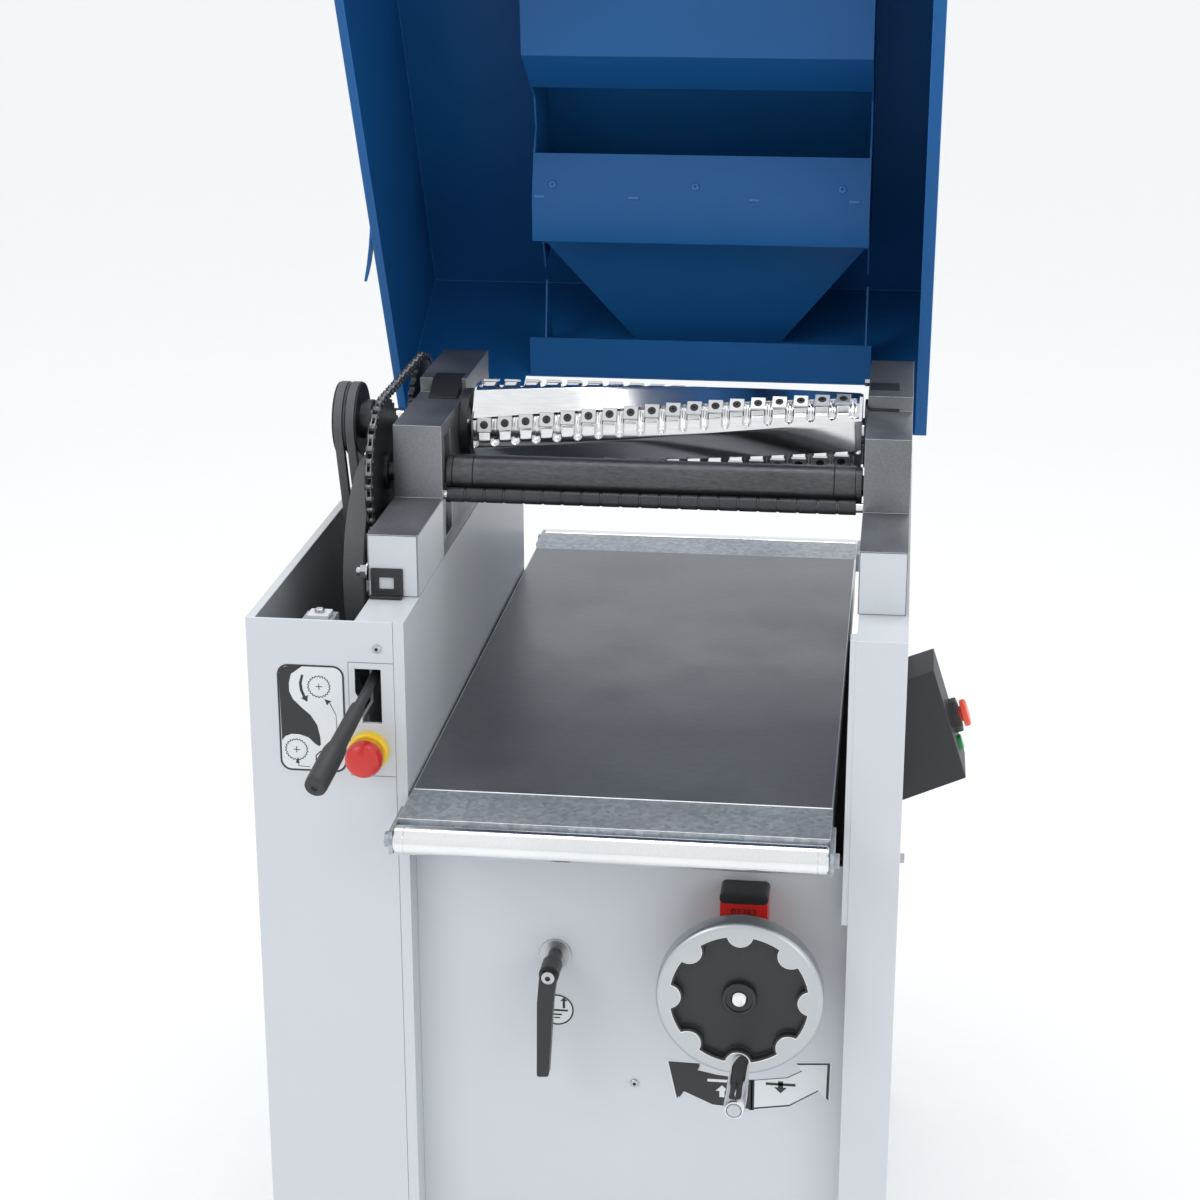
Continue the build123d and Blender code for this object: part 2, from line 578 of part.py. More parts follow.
with BuildPart() as roller_brackets:
    for y, near, far in ((roll_front_y, roll_front_y - 9, -395.0), (roll_rear_y, 480.0, roll_rear_y + 9)):
        for x0, x1 in ((TABLE_X0 - 4, TABLE_X0), (table_x1, table_x1 + 4)):
            block(x0, x1, near, far, ROLL_Z - 12, ROLL_Z + 11)
        along_x(TABLE_X0 - 4, table_x1 + 4, y, ROLL_Z, roll_pin_r)
        for x0, x1 in ((TABLE_X0 - 9, TABLE_X0 - 4), (table_x1 + 4, table_x1 + 9)):
            with BuildSketch(side_plane(x0)):
                with Locations((y, ROLL_Z)):
                    RegularPolygon(7.5, 6)
            extrude(amount=x1 - x0)
finish(roller_brackets, "roller_brackets")

# ---- table lift ---------------------------------------------------------------------------------
screw_top = TABLE_TOP - TABLE_DEPTH - 6
screw_bottom = HANDWHEEL_Z - 96 - TABLE_TRAVEL - 40
with BuildPart() as lift_screws:
    for x, y in (LIFT_FRONT, LIFT_REAR):
        along_z(x, y, screw_bottom, screw_top, LIFT_R)
finish(lift_screws, "lift_screws")

nut_z0 = beam_z0 - 30
nut_z1 = HANDWHEEL_Z - 22
bevel_r = 34.0
pinion_r = 17.0
bevel_w = 5.0
bevel_play = 0.4
bevel_z = HANDWHEEL_Z - pinion_r - bevel_play


def lift_nut(x, y, geared):
    """A turning nut that carries the lift sprocket and, at the front, the bevel gear."""
    along_z(x, y, nut_z0, nut_z1, 22)
    along_z(x, y, beam_z0 + beam_t, beam_z0 + beam_t + 8, 28)
    along_z(x, y, beam_z0 - 14, beam_z0 - 8, 38)
    if geared:
        along_z(x, y, bevel_z - 9, bevel_z, bevel_r)
        with Locations((x, y, bevel_z)):
            Cone(bevel_r, bevel_r * (1 - bevel_w / pinion_r), bevel_w,
                 align=(Align.CENTER, Align.CENTER, Align.MIN))
    along_z(x, y, nut_z0, bevel_z + bevel_w, LIFT_R + FIT, Mode.SUBTRACT)


with BuildPart() as lift_nut_front:
    lift_nut(*LIFT_FRONT, geared=True)
finish(lift_nut_front, "lift_nut_front")

with BuildPart() as lift_nut_rear:
    lift_nut(*LIFT_REAR, geared=False)
finish(lift_nut_rear, "lift_nut_rear")

lift_span = hypot(LIFT_REAR[0] - LIFT_FRONT[0], LIFT_REAR[1] - LIFT_FRONT[1])
lift_lean = degrees(atan2(LIFT_REAR[1] - LIFT_FRONT[1], LIFT_REAR[0] - LIFT_FRONT[0]))
with BuildPart() as roller_chains:
    band(CHAIN_X0, CHAIN_W, feed_loop, chain_in, 4.0)
    middle = ((LIFT_FRONT[0] + LIFT_REAR[0]) / 2, (LIFT_FRONT[1] + LIFT_REAR[1]) / 2)
    with BuildSketch(Plane.XY.offset(beam_z0 - 15)):
        with Locations(Location((*middle, 0), (0, 0, lift_lean))):
            SlotCenterToCenter(lift_span, 2 * 43)
            SlotCenterToCenter(lift_span, 2 * 38.3, mode=Mode.SUBTRACT)
    extrude(amount=8)
finish(roller_chains, "roller_chains")

# ---- handwheel ----------------------------------------------------------------------------------
wheel_x = LIFT_FRONT[0]
rim_front = -420.0
rim_back = -394.0
axle_r = 8.0
pinion_y = LIFT_FRONT[1] - bevel_r - bevel_play
pinion_w = 10.0
with BuildPart() as handwheel_shaft:
    along_y(wheel_x, rim_front + 8, pinion_y, HANDWHEEL_Z, axle_r)
    along_y(wheel_x, pinion_y - 12, pinion_y, HANDWHEEL_Z, pinion_r)
    with Locations(Plane(origin=(wheel_x, pinion_y, HANDWHEEL_Z), x_dir=(1, 0, 0), z_dir=(0, 1, 0))):
        Cone(pinion_r, pinion_r * (1 - pinion_w / bevel_r), pinion_w,
             align=(Align.CENTER, Align.CENTER, Align.MIN))
finish(handwheel_shaft, "handwheel_shaft")

CRANK_R = 66.0
crank_z = HANDWHEEL_Z - CRANK_R
crank_x = wheel_x + 3
crank_pin_r = 5.0
crank_end = -514.0
KNOB_R = 67.0
LOBES = 8
DISH_DEPTH = 10.0
DISH_WALL = 2.0


def dish_outline(inset):
    """The lobed outline of the black dish in the handwheel's face."""
    Circle(KNOB_R - inset)
    with PolarLocations(KNOB_R + 2, LOBES, start_angle=0):
        Circle(13 + inset, mode=Mode.SUBTRACT)


dish_plane = Plane(origin=(wheel_x, rim_front + DISH_DEPTH, HANDWHEEL_Z), x_dir=(1, 0, 0), z_dir=(0, -1, 0))
with BuildPart() as handwheel:
    along_y(wheel_x, rim_front, rim_back, HANDWHEEL_Z, HANDWHEEL_R)
    fillet(handwheel.edges(), 6)
    with BuildSketch(dish_plane):
        dish_outline(0)
    extrude(amount=DISH_DEPTH, mode=Mode.SUBTRACT)
    along_y(wheel_x, rim_back - 10, rim_back, HANDWHEEL_Z, HANDWHEEL_R - 11, Mode.SUBTRACT)
    along_y(wheel_x, rim_back - 10, rim_back + 12, HANDWHEEL_Z, 18)
    along_y(wheel_x, rim_front, rim_back + 12, HANDWHEEL_Z, axle_r, Mode.SUBTRACT)
    along_y(crank_x, crank_end, rim_back - 10, crank_z, crank_pin_r)
finish(handwheel, "handwheel")

with BuildPart() as handwheel_knob:
    with BuildSketch(dish_plane):
        dish_outline(0)
    extrude(amount=DISH_DEPTH - 0.5)
    with BuildSketch(dish_plane.offset(DISH_WALL)):
        dish_outline(DISH_WALL)
    extrude(amount=DISH_DEPTH, mode=Mode.SUBTRACT)
    along_y(wheel_x, rim_front + 3, rim_front + DISH_DEPTH, HANDWHEEL_Z, 15)
    along_y(wheel_x, rim_front, rim_front + DISH_DEPTH, HANDWHEEL_Z, axle_r, Mode.SUBTRACT)
    along_y(crank_x, rim_front, rim_front + DISH_DEPTH, crank_z, crank_pin_r, Mode.SUBTRACT)
finish(handwheel_knob, "handwheel_knob")

with BuildPart() as crank_handle:
    with BuildSketch(Plane(origin=(crank_x, 0, crank_z), x_dir=(1, 0, 0), z_dir=(0, 0, 1))):
        with BuildLine():
            Polyline((crank_pin_r, rim_front - 1), (8, rim_front - 1), (8.5, -440))
            Spline((8.5, -440), (10.5, -475), (10, -505), tangents=((0.1, -1), (-0.1, -1)))
            Polyline((10, -505), (9, -512), (crank_pin_r, crank_end), (crank_pin_r, rim_front - 1))
        make_face()
    revolve(axis=Axis((crank_x, 0, crank_z), (0, 1, 0)))
    along_y(crank_x, crank_end, rim_front - 1, crank_z, crank_pin_r + FIT, Mode.SUBTRACT)
finish(crank_handle, "crank_handle")

# ---- panel fittings -----------------------------------------------------------------------------
with BuildPart() as position_indicator:
    block(wheel_x - 23.5, wheel_x + 23.5, -370, PANEL_Y, HANDWHEEL_Z - 24, HANDWHEEL_Z + 89)
    fillet(position_indicator.edges().filter_by(Axis.Y), 12)
    along_y(wheel_x, -370, PANEL_Y, HANDWHEEL_Z, axle_r + 1, Mode.SUBTRACT)
finish(position_indicator, "position_indicator")

CLAMP_X = -22.0
CLAMP_Z = 525.5
with BuildPart() as clamp_stud:
    along_y(CLAMP_X, PANEL_Y - 3, PANEL_Y, CLAMP_Z, 16)
    along_y(CLAMP_X, -392, PANEL_Y, CLAMP_Z, 5)
finish(clamp_stud, "clamp_stud")

with BuildPart() as clamp_lever:
    along_y(CLAMP_X, -386, -362, CLAMP_Z, 10)
    along_y(CLAMP_X, -362, PANEL_Y - 4, CLAMP_Z, 7)
    with BuildSketch(Plane(origin=(CLAMP_X, -374, CLAMP_Z), x_dir=(1, 0, 0), z_dir=(0, -1, 0))):
        with BuildLine():
            Polyline((-9, 4), (9, 4), (4, -30), (-1, -112), (-13, -113), (-12, -30), close=True)
        make_face()
    extrude(amount=13)
    fillet(clamp_lever.edges().filter_by(Axis.Y), 2.5)
    along_y(CLAMP_X, -392, PANEL_Y - 4, CLAMP_Z, 5 + FIT, Mode.SUBTRACT)
finish(clamp_lever, "clamp_lever")

with BuildPart() as estop_base:
    along_y(STOP_X, -half_d - 9, -half_d, STOP_Z, 20)
    along_y(STOP_X, -half_d, front_skin + COLUMN_WALL + 30, STOP_Z, STOP_HOLE_R - 0.1)
    along_y(STOP_X, -half_d - 9, front_skin + COLUMN_WALL + 20, STOP_Z, 7, Mode.SUBTRACT)
finish(estop_base, "estop_base")

STOP_TRAVEL = 5.0
with BuildPart() as estop_button:
    with BuildSketch(Plane(origin=(STOP_X, 0, STOP_Z), x_dir=(1, 0, 0), z_dir=(0, 0, 1))):
        with BuildLine():
            Polyline((0, -350), (6.9, -350), (6.9, -384.5), (13, -386), (18.5, -390))
            Spline((18.5, -390), (17.5, -399), (9, -404.5), (0, -405.5),
                   tangents=((0.1, -1), (-1, 0)))
            Line((0, -405.5), (0, -350))
        make_face()
    revolve(axis=Axis((STOP_X, 0, STOP_Z), (0, 1, 0)))
finish(estop_button, "estop_button")

PIVOT = Vector(-184.5, -300.0, 840.0)
LEVER_TIP = Vector(-219.0, -510.0, 765.0)
lever_dir = (LEVER_TIP - PIVOT).normalized()
lever_len = (LEVER_TIP - PIVOT).length
with BuildPart() as feed_lever:
    with Locations(Plane(origin=PIVOT, z_dir=lever_dir)):
        Cylinder(5, lever_len - 56, align=(Align.CENTER, Align.CENTER, Align.MIN))
    along_x(PIVOT.X - 9, PIVOT.X + 9, PIVOT.Y, PIVOT.Z, 12)
    along_x(PIVOT.X - 9, PIVOT.X + 9, PIVOT.Y, PIVOT.Z, 6 + FIT, Mode.SUBTRACT)
finish(feed_lever, "feed_lever")

with BuildPart() as lever_knob:
    with Locations(Plane(origin=PIVOT + lever_dir * (lever_len - 110), z_dir=lever_dir)):
        Cylinder(7, 54, align=(Align.CENTER, Align.CENTER, Align.MIN))
        Cylinder(5, 54, align=(Align.CENTER, Align.CENTER, Align.MIN), mode=Mode.SUBTRACT)
    with Locations(Plane(origin=PIVOT + lever_dir * (lever_len - 56), z_dir=lever_dir)):
        Cylinder(12.5, 56, align=(Align.CENTER, Align.CENTER, Align.MIN))
finish(lever_knob, "lever_knob")

with BuildPart() as lever_pivot:
    along_x(gear_x0, gear_x1, PIVOT.Y, PIVOT.Z, 6)
finish(lever_pivot, "lever_pivot")

BOX_Y = (-210.0, -140.0)
BOX_TILT = 18.0
face_a = Vector(343.2, 0, 796.2)
face_b = Vector(380.0, 0, 682.7)
face_dir = Vector(cos(radians(BOX_TILT)), 0, sin(radians(BOX_TILT)))
box_mid_y = (BOX_Y[0] + BOX_Y[1]) / 2
stop_spot = Vector(362.9, box_mid_y, 735.6)
start_spot = Vector(372.0, box_mid_y, 707.5)
with BuildPart() as switch_box:
    with BuildSketch(Plane(origin=(0, BOX_Y[1], 0), x_dir=(1, 0, 0), z_dir=(0, -1, 0))):
        with BuildLine():
            Polyline((right_out, 785.4), (face_a.X, face_a.Z), (face_b.X, face_b.Z), (right_out, 654.3),
                     close=True)
        make_face()
    extrude(amount=BOX_Y[1] - BOX_Y[0])
    with BuildSketch(Plane(origin=stop_spot - face_dir * 4, x_dir=(0, 1, 0), z_dir=face_dir)):
        RegularPolygon(18, 8, rotation=22.5)
    extrude(amount=13)
    with Locations(Plane(origin=stop_spot, x_dir=(0, 1, 0), z_dir=face_dir)):
        Cylinder(8, 34, align=(Align.CENTER, Align.CENTER, Align.CENTER), mode=Mode.SUBTRACT)
    with Locations(Plane(origin=start_spot, x_dir=(0, 1, 0), z_dir=face_dir)):
        Cylinder(8, 20, align=(Align.CENTER, Align.CENTER, Align.CENTER), mode=Mode.SUBTRACT)
finish(switch_box, "switch_box")

with BuildPart() as stop_button:
    with Locations(Plane(origin=stop_spot, x_dir=(0, 1, 0), z_dir=face_dir)):
        Cylinder(7.9, 24, align=(Align.CENTER, Align.CENTER, Align.CENTER))
        with Locations((0, 0, 12)):
            Cylinder(14, 6, align=(Align.CENTER, Align.CENTER, Align.MIN))
    fillet(stop_button.edges().sort_by(Axis(tuple(stop_spot), tuple(face_dir)))[-1], 2.5)
finish(stop_button, "stop_button")

with BuildPart() as start_button:
    with Locations(Plane(origin=start_spot, x_dir=(0, 1, 0), z_dir=face_dir)):
        Cylinder(7.9, 8, align=(Align.CENTER, Align.CENTER, Align.CENTER))
finish(start_button, "start_button")

with BuildPart() as latch_strike:
    block(-209, -177, STEP_Y0 - 3, STEP_Y0, COLUMN_TOP, COLUMN_TOP + 29)
    block(-201, -186, STEP_Y0 - 3, STEP_Y0, COLUMN_TOP + 8, COLUMN_TOP + 20, Mode.SUBTRACT)
    block(-209, -177, STEP_Y0 - 12, STEP_Y0 - 3, COLUMN_TOP, COLUMN_TOP + 3)
finish(latch_strike, "latch_strike")

# ---- hood, in its open position -----------------------------------------------------------------
open_cos = cos(radians(HOOD_OPEN_DEG))
open_sin = sin(radians(HOOD_OPEN_DEG))
HOOD_T = 2.0
hood_top = HOOD_EDGE_Z + HOOD_H
front_throat_z = HOOD_EDGE_Z + 80.0
rear_throat_z = HOOD_EDGE_Z + 88.0


def hood_plane(x):
    """Plane at x in which the closed hood's Y and Z are drawn and land where the open hood is."""
    y_dir = Vector(0, open_cos, -open_sin)
    z_dir = Vector(0, open_sin, open_cos)
    start = Vector(x, HINGE_Y, HINGE_Z) - y_dir * HINGE_Y - z_dir * HINGE_Z
    return Plane(origin=start, x_dir=y_dir, z_dir=(1, 0, 0))


def hood_slab(x0, x1, corners, mode=Mode.ADD):
    """A prism along X with the given closed-position (Y, Z) corners."""
    prism(hood_plane(x0), corners, x1 - x0, mode)


def hood_box(x0, x1, y0, y1, z0, z1, mode=Mode.ADD):
    """A box of the closed hood."""
    hood_slab(x0, x1, ((y0, z0), (y1, z0), (y1, z1), (y0, z1)), mode)


def side_outline(inset, edge_z):
    """Outline of the hood's side: square at the rear, sloped over the operator's side."""
    front = HOOD_FRONT_Y + inset
    rear = HOOD_REAR_Y - inset
    top = hood_top - inset
    return ((front, edge_z), (rear, edge_z), (rear, top), (front + 90, top), (front, top - 70))


def edge(s, t):
    """Closed-position (Y, Z) of a point s along the hood's edge from the hinge and t into its depth."""
    return (HOOD_REAR_Y - 33 - s, HOOD_EDGE_Z + t)


def spout_plane():
    """Plane on the hood's top panel, facing out of the dust spout."""
    local = hood_plane((DUCT_X0 + DUCT_X1) / 2)
    spot = local.from_local_coords((SPOUT_Y, hood_top - HOOD_T, 0))
    return Plane(origin=spot, x_dir=(1, 0, 0), z_dir=local.y_dir)


SPOUT_L = 60.0
SPOUT_Y = 250.0
BARREL_R = 9.0
PIN_R = 5.0
BARRELS = ((-201.0, -170.0), (276.0, 308.0))
with BuildPart() as hood_shell:
    hood_slab(HOOD_X0, HOOD_X1, side_outline(0, HOOD_EDGE_Z))
    hood_slab(HOOD_X0 + HOOD_T, HOOD_X1 - HOOD_T, side_outline(HOOD_T, HOOD_EDGE_Z - 1), Mode.SUBTRACT)
    for x0, x1 in ((HOOD_X0, HOOD_X0 + 10), (HOOD_X1 - 14, HOOD_X1)):
        hood_box(x0, x1, HOOD_FRONT_Y, HOOD_REAR_Y, HOOD_EDGE_Z, HOOD_EDGE_Z + HOOD_T)
    hood_box(-164, 270, HOOD_FRONT_Y - 1, HOOD_FRONT_Y + 20, HOOD_EDGE_Z - 1, front_throat_z, Mode.SUBTRACT)
    hood_box(-164, 270, HOOD_REAR_Y - 20, HOOD_REAR_Y + 1, HOOD_EDGE_Z - 1, rear_throat_z, Mode.SUBTRACT)
    with Locations(spout_plane()):
        Cylinder(SPOUT_R, SPOUT_L + HOOD_T, align=(Align.CENTER, Align.CENTER, Align.MIN))
        Cylinder(SPOUT_R - HOOD_T, 2 * SPOUT_L + 20, align=(Align.CENTER, Align.CENTER, Align.CENTER),
                 mode=Mode.SUBTRACT)
    for x0, x1 in BARRELS:
        along_x(x0, x1, HINGE_Y, HINGE_Z, BARREL_R)
        hood_box(x0, x1, HOOD_REAR_Y - 1, HINGE_Y, HINGE_Z - 2, HINGE_Z + 7)
        along_x(x0, x1, HINGE_Y, HINGE_Z, PIN_R + FIT, Mode.SUBTRACT)
    strip_start = hood_plane(0).from_local_coords((*edge(262, 0), 0))
    strip_plane = Plane(origin=strip_start, x_dir=(1, 0, 0), z_dir=tuple(hood_plane(0).y_dir))
    with BuildSketch(strip_plane):
        with BuildLine():
            ThreePointArc((HOOD_X0, 0), (HOOD_X0 - 8, 42), (HOOD_X0 - 17, 79))
            Line((HOOD_X0 - 17, 79), (HOOD_X0 - 13.5, 79))
            ThreePointArc((HOOD_X0 - 13.5, 79), (HOOD_X0 - 4.5, 44), (HOOD_X0, 14))
            Line((HOOD_X0, 14), (HOOD_X0, 0))
        make_face()
    extrude(amount=20)
finish(hood_shell, "hood_shell")


def sheet(x0, x1, points):
    """A bent sheet of even thickness that follows (s, t) points across the hood."""
    normals = []
    for (s0, t0), (s1, t1) in zip(points, points[1:]):
        normals.append(Vector(t0 - t1, s1 - s0).normalized())
    offset = [normals[0]]
    for before, after in zip(normals, normals[1:]):
        offset.append((before + after) / (1 + before.dot(after)))
    offset.append(normals[-1])
    outer = [(s + HOOD_T * n.X, t + HOOD_T * n.Y) for (s, t), n in zip(points, offset)]
    hood_slab(x0, x1, [edge(s, t) for s, t in (*points, *reversed(outer))])


inner_t = HOOD_H - HOOD_T
LEDGE = ((177, 150), (175, 94), (179, 88), (186, 90), (227, 111), (241, 125), (263, 147))
DEFLECTOR = ((340, 168), (410, 128), (490, 160), (488, 220), (484, inner_t))
LIP = ((-30.2, 88.5), (15, 106))
LIP_X = (-158.0, 262.0)
FUNNEL = (-22.0, 130.0)
FUNNEL_HALF = (85.0, 193.0)
duct_mid = (DUCT_X0 + DUCT_X1) / 2
with BuildPart() as hood_duct:
    for x0 in (DUCT_X0, DUCT_X1 - HOOD_T):
        hood_slab(x0, x0 + HOOD_T, [edge(s, t) for s, t in (
            (90, inner_t), (90, 150), *LEDGE, (280, 174), (318, 182), *DEFLECTOR)])
    sheet(DUCT_X0, DUCT_X1, ((177, 152), *LEDGE))
    sheet(DUCT_X0, DUCT_X1, DEFLECTOR)
    sheet(*LIP_X, LIP)
    hood_slab(DUCT_X0, DUCT_X1, (edge(FUNNEL[1] - 2, 150), edge(179, 150), edge(179, 152),
                                 edge(FUNNEL[1] - 2, 152)))
    hood_slab(DUCT_X0, DUCT_X1, (edge(-31, 150), edge(FUNNEL[0] + 2, 150), edge(FUNNEL[0] + 2, 152),
                                 edge(-31, 152)))
    for x0 in (DUCT_X0, DUCT_X1 - HOOD_T):
        hood_slab(x0, x0 + HOOD_T, (edge(-31, 89), edge(14, 107), edge(70, 151), edge(-31, 151)))
    floor_plane = hood_plane(0)
    corner = floor_plane.from_local_coords((*edge(0, 150), 0))
    floor_face = Plane(origin=corner, x_dir=(1, 0, 0), z_dir=tuple(floor_plane.y_dir))
    with BuildSketch(floor_face):
        with BuildLine():
            Polyline((duct_mid - FUNNEL_HALF[0], -FUNNEL[0]), (duct_mid + FUNNEL_HALF[0], -FUNNEL[0]),
                     (duct_mid + FUNNEL_HALF[1], -FUNNEL[1]), (duct_mid - FUNNEL_HALF[1], -FUNNEL[1]), close=True)
        make_face()
    extrude(amount=HOOD_T)
    with BuildSketch(floor_face) as walls:
        for side in (-1, 1):
            with BuildLine():
                Polyline((duct_mid + side * FUNNEL_HALF[0], 31), (duct_mid + side * FUNNEL_HALF[0], -FUNNEL[0]),
                         (duct_mid + side * FUNNEL_HALF[1], -FUNNEL[1] - 3),
                         (duct_mid + side * FUNNEL_HALF[1], -FUNNEL[1]),
                         (duct_mid + side * (FUNNEL_HALF[0] + HOOD_T), -FUNNEL[0] + 3),
                         (duct_mid + side * (FUNNEL_HALF[0] + HOOD_T), 31), close=True)
            make_face()
    extrude(walls.sketch, amount=inner_t - 150)
finish(hood_duct, "hood_duct")

ear_half = 8.0
with BuildPart() as hinge_brackets:
    for x0, x1 in ((-207, -202), (-169, -164), (270, 275), (309, 314)):
        block(x0, x1, HINGE_Y - ear_half, HINGE_Y + ear_half, COLUMN_TOP, HINGE_Z)
        along_x(x0, x1, HINGE_Y, HINGE_Z, ear_half)
        along_x(x0, x1, HINGE_Y, HINGE_Z, PIN_R, Mode.SUBTRACT)
finish(hinge_brackets, "hinge_brackets")

with BuildPart() as hinge_pins:
    for x0, x1 in ((-208.5, -162.5), (268.5, 315.5)):
        along_x(x0, x1, HINGE_Y, HINGE_Z, PIN_R)
finish(hinge_pins, "hinge_pins")
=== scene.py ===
"""Looks of the thickness planer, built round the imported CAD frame.

Metres; +X right, +Y feed direction, +Z up.
"""

import json
from math import atan2, cos, hypot, pi, radians, sin, sqrt

import bmesh
import bpy
from mathutils import Matrix, Vector

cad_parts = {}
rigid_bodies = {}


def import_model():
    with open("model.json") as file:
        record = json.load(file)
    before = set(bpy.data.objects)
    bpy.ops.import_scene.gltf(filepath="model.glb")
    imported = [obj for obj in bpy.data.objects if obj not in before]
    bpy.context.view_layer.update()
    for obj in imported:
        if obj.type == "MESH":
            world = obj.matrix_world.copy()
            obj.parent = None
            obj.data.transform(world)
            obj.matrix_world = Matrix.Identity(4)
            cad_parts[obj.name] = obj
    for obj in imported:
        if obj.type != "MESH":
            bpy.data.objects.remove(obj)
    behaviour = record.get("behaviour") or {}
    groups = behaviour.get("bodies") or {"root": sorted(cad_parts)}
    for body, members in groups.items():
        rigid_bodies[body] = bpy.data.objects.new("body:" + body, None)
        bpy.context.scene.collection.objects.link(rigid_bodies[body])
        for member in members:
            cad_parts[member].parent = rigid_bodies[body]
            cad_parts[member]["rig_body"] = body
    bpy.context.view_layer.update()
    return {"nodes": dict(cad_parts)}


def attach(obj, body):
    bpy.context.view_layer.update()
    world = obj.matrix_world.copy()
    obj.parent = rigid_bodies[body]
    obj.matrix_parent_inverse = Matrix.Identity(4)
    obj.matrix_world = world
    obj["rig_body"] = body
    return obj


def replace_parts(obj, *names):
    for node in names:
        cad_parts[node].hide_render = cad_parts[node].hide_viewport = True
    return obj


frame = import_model()
nodes = frame["nodes"]
MM = 0.001


# ---- materials ------------------------------------------------------------------------------------
def material(name, color, rough, metal=0.0, coat=0.0, tint=0.0, grain=(900.0, 0.05), stretch=(1, 1, 1),
             mottle=0.0, bump_distance=0.0004, second=None, specular=0.5):
    """Principled material with noise in its colour and roughness and a fine bump. Lengths are per metre."""
    m = bpy.data.materials.new(name)
    m.use_nodes = True
    tree = m.node_tree
    new, link = tree.nodes.new, tree.links.new
    shader = tree.nodes["Principled BSDF"]
    shader.inputs["Metallic"].default_value = metal
    shader.inputs["Coat Weight"].default_value = coat
    shader.inputs["Coat Roughness"].default_value = 0.15
    shader.inputs["Specular IOR Level"].default_value = specular
    place = new("ShaderNodeTexCoord")
    scale = new("ShaderNodeMapping")
    scale.inputs["Scale"].default_value = stretch
    link(place.outputs["Object"], scale.inputs["Vector"])

    broad = new("ShaderNodeTexNoise")
    broad.inputs["Scale"].default_value = 9.0
    broad.inputs["Detail"].default_value = 6.0
    link(place.outputs["Object"], broad.inputs["Vector"])
    fine = new("ShaderNodeTexNoise")
    fine.inputs["Scale"].default_value = grain[0]
    fine.inputs["Detail"].default_value = 4.0
    link(scale.outputs["Vector"], fine.inputs["Vector"])

    blend = new("ShaderNodeMix")
    blend.data_type = "RGBA"
    dark = [c * (1 - tint) for c in color]
    light = [min(1.0, c * (1 + tint)) for c in (second or color)]
    blend.inputs[6].default_value = (*dark, 1)
    blend.inputs[7].default_value = (*light, 1)
    add = new("ShaderNodeMath")
    add.operation = "ADD"
    link(broad.outputs["Fac"], add.inputs[0])
    link(fine.outputs["Fac"], add.inputs[1])
    span = new("ShaderNodeMapRange")
    span.inputs["From Min"].default_value = 0.75
    span.inputs["From Max"].default_value = 1.25
    link(add.outputs[0], span.inputs["Value"])
    link(span.outputs["Result"], blend.inputs[0])
    link(blend.outputs[2], shader.inputs["Base Color"])

    gloss = new("ShaderNodeMapRange")
    gloss.inputs["From Min"].default_value = 0.3
    gloss.inputs["From Max"].default_value = 0.7
    gloss.inputs["To Min"].default_value = max(0.02, rough - mottle)
    gloss.inputs["To Max"].default_value = rough + mottle + 0.02
    link(broad.outputs["Fac"], gloss.inputs["Value"])
    link(gloss.outputs["Result"], shader.inputs["Roughness"])

    bump = new("ShaderNodeBump")
    bump.inputs["Strength"].default_value = grain[1]
    bump.inputs["Distance"].default_value = bump_distance
    link(fine.outputs["Fac"], bump.inputs["Height"])
    link(bump.outputs["Normal"], shader.inputs["Normal"])
    return m


def spangle_material(name):
    """Galvanised sheet: crystal patches of differing brightness."""
    m = material(name, (0.46, 0.49, 0.52), 0.42, 0.75, grain=(500, 0.05), mottle=0.1)
    tree = m.node_tree
    cells = tree.nodes.new("ShaderNodeTexVoronoi")
    cells.inputs["Scale"].default_value = 190
    ramp = tree.nodes.new("ShaderNodeValToRGB")
    ramp.color_ramp.elements[0].color = (0.27, 0.30, 0.335, 1)
    ramp.color_ramp.elements[1].color = (0.47, 0.50, 0.53, 1)
    place = tree.nodes.new("ShaderNodeTexCoord")
    tree.links.new(place.outputs["Object"], cells.inputs["Vector"])
    tree.links.new(cells.outputs["Color"], ramp.inputs["Fac"])
    tree.links.new(ramp.outputs["Color"], tree.nodes["Principled BSDF"].inputs["Base Color"])
    return m


PAINT = material("cabinet_paint_look", (0.565, 0.595, 0.625), 0.38, coat=0.15, tint=0.012, grain=(1100, 0.08),
                 bump_distance=0.0002)
# lighter copy of the cabinet paint for the bevels: a painted highlight along the edges
PAINT_EDGE_HIGHLIGHT = material("cabinet_edge_highlight_look", (0.66, 0.69, 0.71), 0.35, tint=0.02, grain=(900, 0.06))
SEAM = material("panel_seam_look", (0.20, 0.21, 0.23), 0.5, tint=0.05, grain=(900, 0.06))
BLUE = material("hood_paint_look", (0.008, 0.100, 0.30), 0.42, coat=0.03, tint=0.05, grain=(700, 0.10),
                bump_distance=0.0002, specular=0.3)
# lighter copy of the hood blue for bevels, screw heads and tabs: a painted highlight
BLUE_HIGHLIGHT = material("hood_highlight_look", (0.02, 0.15, 0.45), 0.35, tint=0.04, grain=(700, 0.08))
IRON = material("machined_iron_look", (0.20, 0.21, 0.225), 0.40, 0.85, tint=0.20, grain=(900, 0.25),
                stretch=(1, 0.35, 1), mottle=0.09)
IRON_DARK = material("blackened_plate_look", (0.035, 0.036, 0.04), 0.42, 0.7, tint=0.25, grain=(900, 0.2),
                     mottle=0.08)
# near-white metal for the bevels of castings, table, plates and handwheel: a painted highlight along the
# edges
METAL_EDGE_HIGHLIGHT = material("metal_edge_highlight_look", (0.72, 0.73, 0.74), 0.28, 1.0, tint=0.10, grain=(500, 0.1))
TABLE = material("table_iron_look", (0.17, 0.18, 0.195), 0.34, 0.80, tint=0.13, grain=(700, 0.16),
                 stretch=(0.10, 1, 1), mottle=0.05, bump_distance=0.0002)
POLISHED = material("polished_steel_look", (0.80, 0.81, 0.82), 0.13, 1.0, tint=0.05, grain=(900, 0.06),
                    stretch=(3, 0.3, 0.3), mottle=0.04, bump_distance=0.0001)
